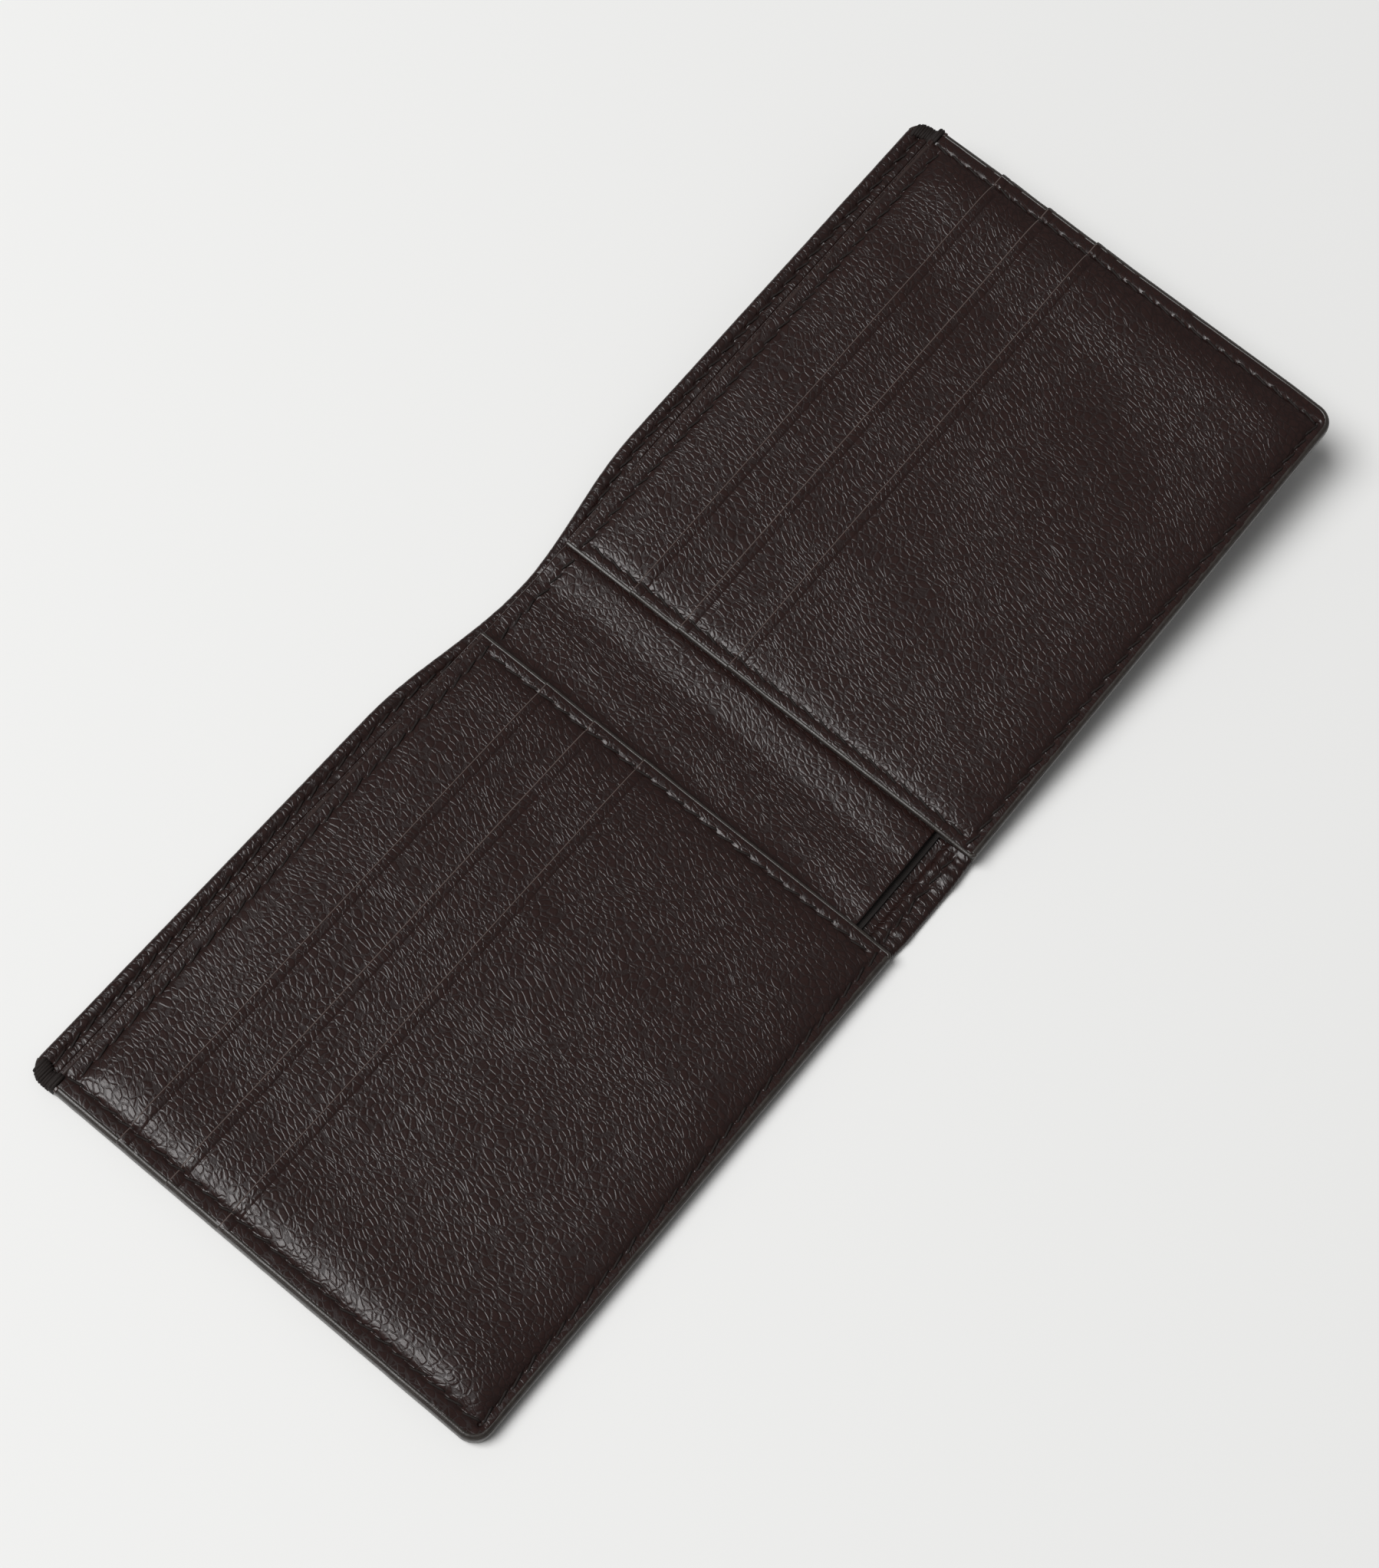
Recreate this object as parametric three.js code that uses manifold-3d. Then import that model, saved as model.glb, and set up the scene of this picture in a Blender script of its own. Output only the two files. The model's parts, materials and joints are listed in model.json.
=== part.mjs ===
// Bifold wallet of leather, lying open on its cover: a cover, a banknote compartment behind a
// divider, and on each half a card panel with three stepped card slots and a slip pocket.
// Millimetres, +Z up, +X along the open wallet's length, +Y towards the banknote opening.
// Each half is drawn flat, as the right half, in u (outwards from the spine's middle), y and z
// (up from the cover's outside). The left half is its mirror image. It and the spine lie flat,
// and the right half is turned up a little at its fold line.
import * as THREE from "three";
import { mergeVertices } from "three/addons/utils/BufferGeometryUtils.js";
import Module from "manifold-3d";

const wasm = await Module();
wasm.setup();

// ---- driving dimensions ----
const PANEL_WIDTH = 107; // one card panel, spine side to outer edge
const SPINE_GAP = 22.5; // between the two card panels
const COVER_HEIGHT = 95;
const INTERIOR_DROP = 5; // how far the card panels' top edge is below the cover's
const CORNER_RADIUS = 3.5;
const FOLD_X = 3; // the fold lines' distance from the spine's middle
const FOLD_HEIGHT = 2.9; // the fold lines' height, just over the divider and its thread
const REST_FOLD = THREE.MathUtils.degToRad(6); // at the right half's fold line

const SLOT_DROPS = [14.6, 25.2, 36.2]; // the slot edges, down from the card panel's top edge
const OVERLAP = 8; // how far a pocket's leather runs down behind the next pocket's
const CARD_DEPTH = 54; // a card's height, which sets how deep the pockets' linings reach

const SPINE_DIP = 3.8; // the cover's top edge dips by this at the spine
const DIP_REACH = 36; // and is straight again this far from the spine's middle
const SPINE_INSET = 0.4; // the cover's bottom edge at the spine, in from the panels' edge
const DIVIDER_CUTOUT = 8; // the divider stops this far above the panels' bottom edge at the spine
const HEM = 4.6; // the width of the cover's turned edges

// ---- the layers' heights, each [lowest, highest] ----
const COVER = [0, 0.8];
const HEM_TOP = 1.4; // where the cover's leather is doubled
const STIFFENER = [0.85, 1.15];
const COVER_LINING = [1.2, 1.4];
const COVER_THREAD = [1.45, 1.7];
const DIVIDER_LINING = [1.8, 2.0];
const DIVIDER = [2.05, 2.55];
const CARD_BASE = [2.65, 2.8];
const LEATHER = 0.45; // the thickness of a pocket's leather
const FABRIC = 0.15; // the thickness of a pocket's lining
const CLEARANCE = 0.05; // between two pieces that lie on each other
const THREAD = { width: 0.5, height: 0.25 };
const SEAM_INSET = { outer: 3.2, bottom: 2.1, top: 2.8, inner: 2.4, hem: 2.6 }; // from each edge

// ---- what follows from them ----
const INNER = SPINE_GAP / 2;
const OUTER = INNER + PANEL_WIDTH;
const TOP = COVER_HEIGHT / 2;
const BOTTOM = -COVER_HEIGHT / 2;
const INTERIOR_TOP = TOP - INTERIOR_DROP;
const [UPPER_EDGE, MIDDLE_EDGE, FRONT_EDGE] = SLOT_DROPS.map((d) => INTERIOR_TOP - d);

// The pockets lie on each other like shingles: a pocket's leather is high where it covers the one
// behind it, and low beyond that one's end. Each level is the underside of the leather.
const STRIP_Z = CARD_BASE[1] + CLEARANCE;
const UPPER = { high: STRIP_Z + LEATHER + CLEARANCE, low: STRIP_Z + CLEARANCE };
const MIDDLE_LOW = UPPER.low + FABRIC + CLEARANCE;
const MIDDLE = { high: UPPER.low + LEATHER + CLEARANCE, low: MIDDLE_LOW };
const FRONT_LOW = MIDDLE.low + FABRIC + CLEARANCE;
const FRONT = { high: MIDDLE.low + LEATHER + CLEARANCE, low: FRONT_LOW };
const SLOPE = 1.8; // the length over which a pocket steps down
const STEP_GAP = 0.4; // from the end of one pocket's leather to the step in the next one's
const STRIP_END = UPPER_EDGE - OVERLAP;
const UPPER_END = MIDDLE_EDGE - OVERLAP;
const MIDDLE_END = FRONT_EDGE - OVERLAP;

const colour = {
  leather: new THREE.MeshStandardMaterial({ color: 0x2f2624, roughness: 0.5 }),
  lining: new THREE.MeshStandardMaterial({ color: 0x231c1a, roughness: 0.85 }),
  board: new THREE.MeshStandardMaterial({ color: 0x5a5048, roughness: 0.9 }),
  thread: new THREE.MeshStandardMaterial({ color: 0x1b1817, roughness: 0.6 }),
};

// ---- solids ----
function solidOf(geometry) {
  geometry.deleteAttribute("normal");
  geometry.deleteAttribute("uv");
  const merged = mergeVertices(geometry, 1e-4);
  return new wasm.Manifold(
    new wasm.Mesh({
      numProp: 3,
      vertProperties: merged.attributes.position.array,
      triVerts: new Uint32Array(merged.index.array),
    }),
  );
}

function geometryOf(solid) {
  const mesh = solid.getMesh();
  const geometry = new THREE.BufferGeometry();
  geometry.setAttribute("position", new THREE.BufferAttribute(mesh.vertProperties, 3));
  geometry.setIndex(new THREE.BufferAttribute(mesh.triVerts, 1));
  geometry.computeVertexNormals();
  return geometry;
}

const pointsOf = (pairs) => pairs.map(([x, y]) => new THREE.Vector2(x, y));

// A flat sheet: an outline in u and y, between two heights.
function sheet(outline, [low, high]) {
  const shape = outline instanceof THREE.Shape ? outline : new THREE.Shape(pointsOf(outline));
  const geometry = new THREE.ExtrudeGeometry(shape, {
    depth: high - low,
    bevelEnabled: false,
    curveSegments: 5,
  });
  return solidOf(geometry.translate(0, 0, low));
}

// A strip with a profile in y and z, running from one u to another.
function stripAlongU(profile, from, to) {
  const geometry = new THREE.ExtrudeGeometry(new THREE.Shape(pointsOf(profile)), {
    depth: to - from,
    bevelEnabled: false,
  });
  const turn = new THREE.Matrix4().makeBasis(
    new THREE.Vector3(0, 1, 0),
    new THREE.Vector3(0, 0, 1),
    new THREE.Vector3(1, 0, 0),
  );
  return solidOf(geometry.applyMatrix4(turn).translate(from, 0, 0));
}

// A strip with a profile in u and z, centred on one y.
function stripAlongY(profile, y, width) {
  const geometry = new THREE.ExtrudeGeometry(new THREE.Shape(pointsOf(profile)), {
    depth: width,
    bevelEnabled: false,
  });
  return solidOf(geometry.rotateX(Math.PI / 2).translate(0, y + width / 2, 0));
}

// A profile of even height that follows a line of [along, z] points.
const thickened = (line, height) => [
  ...line,
  ...line.map(([along, z]) => [along, z + height]).reverse(),
];

const rectangle = (u0, y0, u1, y1) => [[u0, y0], [u1, y0], [u1, y1], [u0, y1]];

// ---- outlines ----
// The cover's top edge, lower by `drop`, outwards from one u to another.
function topEdge(from, to, drop = 0) {
  const count = 12;
  const stations = Array.from({ length: count + 1 }, (_, i) => (i * DIP_REACH) / count);
  const between = stations.filter((u) => u > from && u < to);
  return [from, ...between, to].map((u) => {
    const reach = Math.min(Math.abs(u) / DIP_REACH, 1);
    return [u, TOP - drop - (SPINE_DIP * (1 + Math.cos(Math.PI * reach))) / 2];
  });
}

// A band along the cover's top edge, between two distances below it.
const topBand = (from, to, near, far) => [
  ...topEdge(from, to, far),
  ...topEdge(from, to, near).reverse(),
];

// The whole of one half's cover, with the spine's bottom edge set in.
function coverOutline() {
  const shape = new THREE.Shape();
  const r = CORNER_RADIUS;
  shape.moveTo(FOLD_X, BOTTOM + SPINE_INSET);
  shape.lineTo(INNER - 0.5, BOTTOM + SPINE_INSET);
  shape.lineTo(INNER + 0.5, BOTTOM);
  shape.lineTo(OUTER - r, BOTTOM);
  shape.absarc(OUTER - r, BOTTOM + r, r, -Math.PI / 2, 0, false);
  shape.lineTo(OUTER, TOP - r);
  shape.absarc(OUTER - r, TOP - r, r, 0, Math.PI / 2, false);
  topEdge(FOLD_X, DIP_REACH).reverse().forEach(([u, y]) => shape.lineTo(u, y));
  return shape;
}

// A sheet of the interior: square at the spine side, rounded at the outer corners.
function panelOutline(inner, inset = 0) {
  const shape = new THREE.Shape();
  const r = CORNER_RADIUS - inset;
  const u = OUTER - inset;
  const low = BOTTOM + inset;
  const high = INTERIOR_TOP - inset;
  shape.moveTo(inner, low);
  shape.lineTo(u - r, low);
  shape.absarc(u - r, low + r, r, -Math.PI / 2, 0, false);
  shape.lineTo(u, high - r / 2);
  shape.absarc(u - r / 2, high - r / 2, r / 2, 0, Math.PI / 2, false);
  shape.lineTo(inner, high);
  return shape;
}

// ---- the cover and the banknote compartment ----
// The leather is doubled at its turned edges: along the top, and at the spine's bare bottom.
const HEM_BOTTOM = BOTTOM + DIVIDER_CUTOUT - 1.5;

function outerCover() {
  const single = [
    [INNER - 1, BOTTOM - 1],
    [OUTER + 1, BOTTOM - 1],
    ...topEdge(FOLD_X - 1, OUTER + 1, HEM).reverse(),
    [FOLD_X - 1, HEM_BOTTOM],
    [INNER - 1, HEM_BOTTOM],
  ];
  const bare = sheet(single, [COVER[1], HEM_TOP + 1]);
  return sheet(coverOutline(), [COVER[0], HEM_TOP]).subtract(bare);
}

function coverSpine() {
  const bottom = BOTTOM + SPINE_INSET;
  const edge = topEdge(-FOLD_X, FOLD_X).reverse();
  const body = sheet([[-FOLD_X, bottom], [FOLD_X, bottom], ...edge], [COVER[0], HEM_TOP]);
  const single = [
    [-FOLD_X - 1, HEM_BOTTOM],
    [FOLD_X + 1, HEM_BOTTOM],
    ...topEdge(-FOLD_X - 1, FOLD_X + 1, HEM).reverse(),
  ];
  return body.subtract(sheet(single, [COVER[1], HEM_TOP + 1]));
}

const LINING_GAP = HEM + 0.2; // from the cover's top edge down to its lining
const LINING_INSET = 1.5; // from the panels' bottom and outer edges
const SPINE_LINING_BOTTOM = BOTTOM + DIVIDER_CUTOUT - 1;

function coverLining() {
  return sheet(
    [
      [FOLD_X, SPINE_LINING_BOTTOM],
      [INNER, SPINE_LINING_BOTTOM],
      [INNER, BOTTOM + LINING_INSET],
      [OUTER - LINING_INSET, BOTTOM + LINING_INSET],
      ...topEdge(FOLD_X, OUTER - LINING_INSET, LINING_GAP).reverse(),
    ],
    COVER_LINING,
  );
}

function coverLiningSpine() {
  const top = topEdge(-FOLD_X, FOLD_X, LINING_GAP).reverse();
  const bottom = SPINE_LINING_BOTTOM;
  return sheet([[-FOLD_X, bottom], [FOLD_X, bottom], ...top], COVER_LINING);
}

const STIFFENER_INSET = 5;

function coverStiffener() {
  return sheet(
    rectangle(
      INNER + STIFFENER_INSET,
      BOTTOM + STIFFENER_INSET,
      OUTER - STIFFENER_INSET,
      TOP - HEM - STIFFENER_INSET,
    ),
    STIFFENER,
  );
}

const CUTOUT_END = INNER + 3; // the divider is full height from here outwards

function notched(outline, level) {
  const cut = rectangle(FOLD_X - 1, BOTTOM - 1, CUTOUT_END, BOTTOM + DIVIDER_CUTOUT);
  return sheet(outline, level).subtract(sheet(cut, [level[0] - 1, level[1] + 1]));
}

const billDivider = () => notched(panelOutline(FOLD_X), DIVIDER);
const dividerLining = () => notched(panelOutline(FOLD_X, LINING_INSET), DIVIDER_LINING);

function spineSheet(level, inset = 0) {
  const low = BOTTOM + DIVIDER_CUTOUT;
  return sheet(rectangle(-FOLD_X, low, FOLD_X, INTERIOR_TOP - inset), level);
}

// ---- one card panel ----
const cardBase = () => sheet(panelOutline(INNER), CARD_BASE);

// A pocket's leather: a strip along u, clipped to the card panel's rounded outline.
function pocket(profile) {
  const clip = sheet(panelOutline(INNER), [CARD_BASE[0], CARD_BASE[1] + 4]);
  return stripAlongU(profile, INNER - 1, OUTER + 1).intersect(clip);
}

const topStrip = () =>
  pocket([
    [STRIP_END, STRIP_Z],
    [INTERIOR_TOP, STRIP_Z],
    [INTERIOR_TOP, STRIP_Z + LEATHER],
    [STRIP_END, STRIP_Z + LEATHER],
  ]);

// High from its slot edge down to `step`, just past the end of the leather behind it.
function steppedPocket(edge, step, end, { high, low }) {
  return pocket(
    thickened([[end, low], [step - SLOPE, low], [step, high], [edge, high]], LEATHER),
  );
}

const upperPocket = () =>
  steppedPocket(UPPER_EDGE, STRIP_END - STEP_GAP, UPPER_END, UPPER);
const middlePocket = () =>
  steppedPocket(MIDDLE_EDGE, UPPER_END - STEP_GAP, MIDDLE_END, MIDDLE);

const FRONT_STEP = MIDDLE_END - STEP_GAP;
const SEAM_STEP = MIDDLE_EDGE - CARD_DEPTH - 1.4; // below the lowest pocket lining

function frontPocket() {
  const seam = STRIP_Z + CLEARANCE;
  return pocket(
    thickened(
      [
        [BOTTOM, seam],
        [SEAM_STEP - SLOPE, seam],
        [SEAM_STEP, FRONT.low],
        [FRONT_STEP - SLOPE, FRONT.low],
        [FRONT_STEP, FRONT.high],
        [FRONT_EDGE, FRONT.high],
      ],
      LEATHER,
    ),
  );
}

// The fabric that carries a pocket on down, from the end of its leather.
function pocketLining(edge, leatherEnd, level) {
  return sheet(
    rectangle(INNER + 0.5, edge - CARD_DEPTH, OUTER - 1, leatherEnd - CLEARANCE),
    [level, level + FABRIC],
  );
}

// ---- threads ----
// The height of the card panel's top surface under a seam that runs along y.
const seamLine = () => {
  const over = CLEARANCE + LEATHER;
  const strip = STRIP_Z + over;
  const upper = UPPER.high + over;
  const middle = MIDDLE.high + over;
  const front = FRONT.high + over;
  const lower = FRONT.low + over;
  const bottom = STRIP_Z + CLEARANCE + over;
  const ramp = 0.8; // the thread's rise before each slot edge
  return [
    [BOTTOM + SEAM_INSET.bottom, bottom],
    [SEAM_STEP - SLOPE - 0.6, bottom],
    [SEAM_STEP - 0.3, lower],
    [FRONT_STEP - SLOPE - 0.6, lower],
    [FRONT_STEP - 0.3, front],
    [FRONT_EDGE + 0.1, front],
    [FRONT_EDGE + ramp, middle],
    [MIDDLE_EDGE + 0.1, middle],
    [MIDDLE_EDGE + ramp, upper],
    [UPPER_EDGE + 0.1, upper],
    [UPPER_EDGE + ramp, strip],
    [INTERIOR_TOP - SEAM_INSET.top - 1, strip],
  ];
};

function seamThread(u) {
  const profile = thickened(seamLine(), THREAD.height);
  return stripAlongU(profile, u - THREAD.width / 2, u + THREAD.width / 2);
}

// Down the outer edge and along the bottom, through every layer.
function outerThread() {
  const z = STRIP_Z + LEATHER + 2 * CLEARANCE;
  const u = OUTER - SEAM_INSET.outer;
  const y = BOTTOM + SEAM_INSET.bottom;
  const half = THREAD.width / 2;
  const bottom = sheet(rectangle(INNER + 1, y - half, u + half, y + half), [
    z,
    z + THREAD.height,
  ]);
  return seamThread(u).add(bottom);
}

// Up the spine side, through the card panel only, so that the slip pocket behind it stays open.
function innerThread() {
  const clear = sheet(
    rectangle(INNER, BOTTOM + SEAM_INSET.bottom + 1, OUTER, INTERIOR_TOP),
    [CARD_BASE[0], CARD_BASE[1] + 4],
  );
  return seamThread(INNER + SEAM_INSET.inner).intersect(clear);
}

// Along the interior's top edge: on the divider at the spine, then up on to the card panel.
function topThread() {
  const low = DIVIDER[1] + CLEARANCE;
  const high = STRIP_Z + LEATHER + CLEARANCE;
  const line = [
    [FOLD_X, low],
    [INNER - 0.8, low],
    [INNER - 0.1, high],
    [OUTER - SEAM_INSET.outer - 1, high],
  ];
  return stripAlongY(
    thickened(line, THREAD.height),
    INTERIOR_TOP - SEAM_INSET.top,
    THREAD.width,
  );
}

function topThreadSpine() {
  const low = DIVIDER[1] + CLEARANCE;
  const y = INTERIOR_TOP - SEAM_INSET.top;
  return sheet(
    rectangle(-FOLD_X, y - THREAD.width / 2, FOLD_X, y + THREAD.width / 2),
    [low, low + THREAD.height],
  );
}

// Along the cover's turned top edge.
const coverThread = (from, to) =>
  sheet(
    topBand(from, to, SEAM_INSET.hem - THREAD.width / 2, SEAM_INSET.hem + THREAD.width / 2),
    COVER_THREAD,
  );

// Along the cover's turned bottom edge, where it is bare at the spine.
function spineBottomThread() {
  const y = BOTTOM + SPINE_INSET + SEAM_INSET.hem;
  return sheet(
    rectangle(-FOLD_X, y - THREAD.width / 2, FOLD_X, y + THREAD.width / 2),
    COVER_THREAD,
  );
}

// The close overcast stitches that tie the cover's top corner down to the card panel's.
function barTack() {
  const z = HEM_TOP + CLEARANCE;
  const outline = rectangle(OUTER - 2.4, INTERIOR_TOP + 0.3, OUTER - 0.4, TOP - 0.9);
  const { hem } = SEAM_INSET;
  const overThread = [z - 1, COVER_THREAD[1] + CLEARANCE];
  const cut = sheet(topBand(DIP_REACH, OUTER, hem - 0.5, hem + 0.5), overThread);
  return sheet(outline, [z, z + 0.9]).subtract(cut);
}

// ---- the assembly ----
function piece(name, solid, material) {
  const mesh = new THREE.Mesh(geometryOf(solid), material);
  mesh.name = name;
  return mesh;
}

function half(side) {
  const coverEnd = OUTER - SEAM_INSET.outer;
  const pieces = {
    outer_cover: [outerCover(), colour.leather],
    cover_stiffener: [coverStiffener(), colour.board],
    cover_lining: [coverLining(), colour.lining],
    divider_lining: [dividerLining(), colour.lining],
    bill_divider: [billDivider(), colour.leather],
    card_base: [cardBase(), colour.lining],
    top_strip: [topStrip(), colour.leather],
    pocket_upper: [upperPocket(), colour.leather],
    pocket_middle: [middlePocket(), colour.leather],
    pocket_front: [frontPocket(), colour.leather],
    pocket_lining_upper: [
      pocketLining(UPPER_EDGE, UPPER_END, UPPER.low),
      colour.lining,
    ],
    pocket_lining_middle: [
      pocketLining(MIDDLE_EDGE, MIDDLE_END, MIDDLE.low),
      colour.lining,
    ],
    thread_outer: [outerThread(), colour.thread],
    thread_inner: [innerThread(), colour.thread],
    thread_top: [topThread(), colour.thread],
    thread_cover: [coverThread(FOLD_X, coverEnd), colour.thread],
    bar_tack: [barTack(), colour.thread],
  };
  const group = new THREE.Group();
  for (const [name, [solid, material]] of Object.entries(pieces))
    group.add(piece(`${name}_${side}`, solid, material));
  return group;
}

function spine() {
  const group = new THREE.Group();
  group.add(
    piece("outer_cover_spine", coverSpine(), colour.leather),
    piece("cover_lining_spine", coverLiningSpine(), colour.lining),
    piece("divider_lining_spine", spineSheet(DIVIDER_LINING, LINING_INSET), colour.lining),
    piece("bill_divider_spine", spineSheet(DIVIDER), colour.leather),
    piece("thread_top_spine", topThreadSpine(), colour.thread),
    piece("thread_cover_spine", coverThread(-FOLD_X, FOLD_X), colour.thread),
    piece("thread_bottom_spine", spineBottomThread(), colour.thread),
  );
  return group;
}

// A half turned up about its fold line by the rest angle.
function folded(half) {
  const fold = new THREE.Group();
  fold.position.set(FOLD_X, 0, FOLD_HEIGHT);
  fold.rotation.y = -REST_FOLD;
  half.position.set(-FOLD_X, 0, -FOLD_HEIGHT);
  fold.add(half);
  return fold;
}

const leftHalf = half("left");
leftHalf.scale.x = -1;
const rightHalf = half("right");

const wallet = new THREE.Group();
wallet.add(leftHalf, spine(), folded(rightHalf));

// The origin is under the middle of the open wallet's box.
const box = new THREE.Box3().setFromObject(wallet, true);
wallet.position.x = -(box.min.x + box.max.x) / 2;
const part = new THREE.Group();
part.add(wallet);

export default part;
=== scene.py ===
import json
import math

import bpy
import numpy as np
from mathutils import Matrix, Vector


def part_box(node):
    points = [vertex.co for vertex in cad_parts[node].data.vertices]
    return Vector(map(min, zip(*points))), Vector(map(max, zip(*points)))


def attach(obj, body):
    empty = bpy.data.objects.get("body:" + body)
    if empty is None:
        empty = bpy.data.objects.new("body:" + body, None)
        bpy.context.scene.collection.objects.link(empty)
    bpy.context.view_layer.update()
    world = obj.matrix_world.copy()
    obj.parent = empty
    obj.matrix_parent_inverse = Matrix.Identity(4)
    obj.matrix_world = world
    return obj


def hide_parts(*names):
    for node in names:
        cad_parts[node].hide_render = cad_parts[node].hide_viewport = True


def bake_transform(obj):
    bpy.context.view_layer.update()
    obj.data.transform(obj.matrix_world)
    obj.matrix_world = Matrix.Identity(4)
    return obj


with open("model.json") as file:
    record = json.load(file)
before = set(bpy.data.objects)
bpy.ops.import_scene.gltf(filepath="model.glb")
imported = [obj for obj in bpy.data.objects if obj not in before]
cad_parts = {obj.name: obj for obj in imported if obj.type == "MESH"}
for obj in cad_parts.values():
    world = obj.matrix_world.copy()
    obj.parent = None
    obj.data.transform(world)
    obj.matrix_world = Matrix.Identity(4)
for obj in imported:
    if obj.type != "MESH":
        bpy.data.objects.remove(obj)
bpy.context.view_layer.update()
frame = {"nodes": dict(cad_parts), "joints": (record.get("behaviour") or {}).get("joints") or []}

MM = 0.001


# ---- sizes taken from the CAD frame, in millimetres ----
JOINTS = {joint["name"]: joint for joint in frame["joints"]}
LEFT_FOLD_X = JOINTS["fold_left"]["pos_m"][0] / MM
RIGHT_FOLD_X = JOINTS["fold_right"]["pos_m"][0] / MM
MIDDLE_X = (LEFT_FOLD_X + RIGHT_FOLD_X) / 2
FOLD_U = (RIGHT_FOLD_X - LEFT_FOLD_X) / 2
FOLD_Z = JOINTS["fold_left"]["pos_m"][2] / MM
REST_FOLD = -math.radians(JOINTS["fold_right"]["range_deg"][0])
BEND = 2 * FOLD_U  # the leather bends between the spine's middle and here


def extent(node, axis):
    """The lowest and highest u, y or z of one of the left half's nodes."""
    low, high = np.array(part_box(node)) / MM
    if axis == "u":
        return MIDDLE_X - high[0], MIDDLE_X - low[0]
    column = "xyz".index(axis)
    return low[column], high[column]


def heights(node):
    return extent(f"{node}_left", "z")


INNER, OUTER = extent("card_base_left", "u")
BOTTOM, INTERIOR_TOP = extent("card_base_left", "y")
TOP = extent("outer_cover_left", "y")[1]
SPINE_BOTTOM, SPINE_TOP = extent("outer_cover_spine", "y")
CUTOUT_Y = extent("bill_divider_spine", "y")[0]
HEM_TOP = extent("outer_cover_left", "z")[1]
DIVIDER_Z = heights("bill_divider")
CARD_BASE_Z = heights("card_base")
STRIP_Z = heights("top_strip")
UPPER_Z = heights("pocket_upper")
MIDDLE_Z = heights("pocket_middle")
FRONT_Z = heights("pocket_front")
LINING_MIDDLE_Z = heights("pocket_lining_middle")
STRIP_END = extent("top_strip_left", "y")[0]
UPPER_END, UPPER_EDGE = extent("pocket_upper_left", "y")
MIDDLE_END, MIDDLE_EDGE = extent("pocket_middle_left", "y")
FRONT_EDGE = extent("pocket_front_left", "y")[1]
LINING_MIDDLE_END = extent("pocket_lining_middle_left", "y")[0]

# Thicknesses.
LEATHER = STRIP_Z[1] - STRIP_Z[0]
CLEARANCE = STRIP_Z[0] - CARD_BASE_Z[1]
COVER_THICKNESS = 0.8
THINNEST = 0.02  # no sheet gets thinner than this

# The outlines' corners, turned edges and dips.
CORNER = 3.5  # the radius of the outer corners
PANEL_CORNER = CORNER / 2  # at the card panel's top outer corner
INNER_CORNER = 0.9  # at the card panel's bottom corner by the spine
CORNER_REACH = 12  # how far in a grid bends to follow its outer corners
INNER_CORNER_REACH = 6
HEM = 4.6  # the depth of the cover's turned top edge
HEM_BOTTOM = SPINE_BOTTOM + 5.4  # where the spine's turned bottom edge ends
DIP_REACH = 36  # from the spine's middle to where the cover's top edge starts to dip
SPINE_DIP = TOP - SPINE_TOP
SPINE_BOW = 0.3  # how far the cover's bottom edge bows out at the spine
DIVIDER_CUT_END = INNER + 3  # the divider is full height from here outwards
EDGE_INSET = 0.3  # from the outline to the card base and the divider
LINING_INSET = 1.5  # from the outline to the compartment's linings

# The seams' lines.
THREAD_WIDTH = 0.5
OUTER_SEAM_U = extent("thread_outer_left", "u")[1] - THREAD_WIDTH / 2
BOTTOM_SEAM_Y = extent("thread_outer_left", "y")[0] + THREAD_WIDTH / 2
INNER_SEAM_U = sum(extent("thread_inner_left", "u")) / 2
TOP_SEAM_Y = sum(extent("thread_top_left", "y")) / 2
HEM_SEAM = 2.6  # below the cover's top edge
SEAM_GAP = 1.0  # from a seam's end to the edge or the seam that it runs up to
SPINE_SEAM_Y = sum(extent("thread_bottom_spine", "y")) / 2
PITCH = 3.6  # from one needle hole to the next


# ---- small mathematics ----
def smoothstep(t):
    t = np.clip(t, 0, 1)
    return t * t * (3 - 2 * t)


LATTICE = 128  # noise repeats after this many bumps


def noise(x, y, seed):
    """Smooth noise from -1 to 1 with about one bump to each unit of x and y."""
    lattice = np.random.default_rng(seed).uniform(-1, 1, (LATTICE, LATTICE))
    x, y = np.broadcast_arrays(x, y)
    column, row = np.floor(x).astype(int), np.floor(y).astype(int)
    across, along = smoothstep(x - column), smoothstep(y - row)

    def corner(i, j):
        return lattice[(column + i) % LATTICE, (row + j) % LATTICE]

    near = corner(0, 0) * (1 - across) + corner(1, 0) * across
    far = corner(0, 1) * (1 - across) + corner(1, 1) * across
    return near * (1 - along) + far * along


def bell(distance, width):
    """One at no distance, and fading to nothing over about twice the width."""
    return np.exp(-((distance / width) ** 2))


def uneven(u, y, layers, seed):
    """Layers of noise, each with its width, length and height."""
    return sum(
        height * noise(u / width, y / length, seed + number)
        for number, (width, length, height) in enumerate(layers)
    )


def round_over(depth, radius):
    """How far a rounded edge drops below its sheet, at a depth in from the edge."""
    left = radius - np.clip(depth, 0, radius)
    return radius - np.sqrt(np.maximum(radius**2 - left**2, 0))


def stations(start, end, coarse, features=(), fine=0.1, growth=0.3):
    """Positions from start to end, closer together at both ends and at each feature."""
    centres = np.array([start, end, *features])
    found = [start]
    while found[-1] < end:
        gap = np.abs(centres - found[-1]).min()
        found.append(found[-1] + min(coarse, fine + growth * gap))
    found = np.array(found)
    return start + (found - start) * (end - start) / (found[-1] - start)


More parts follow.
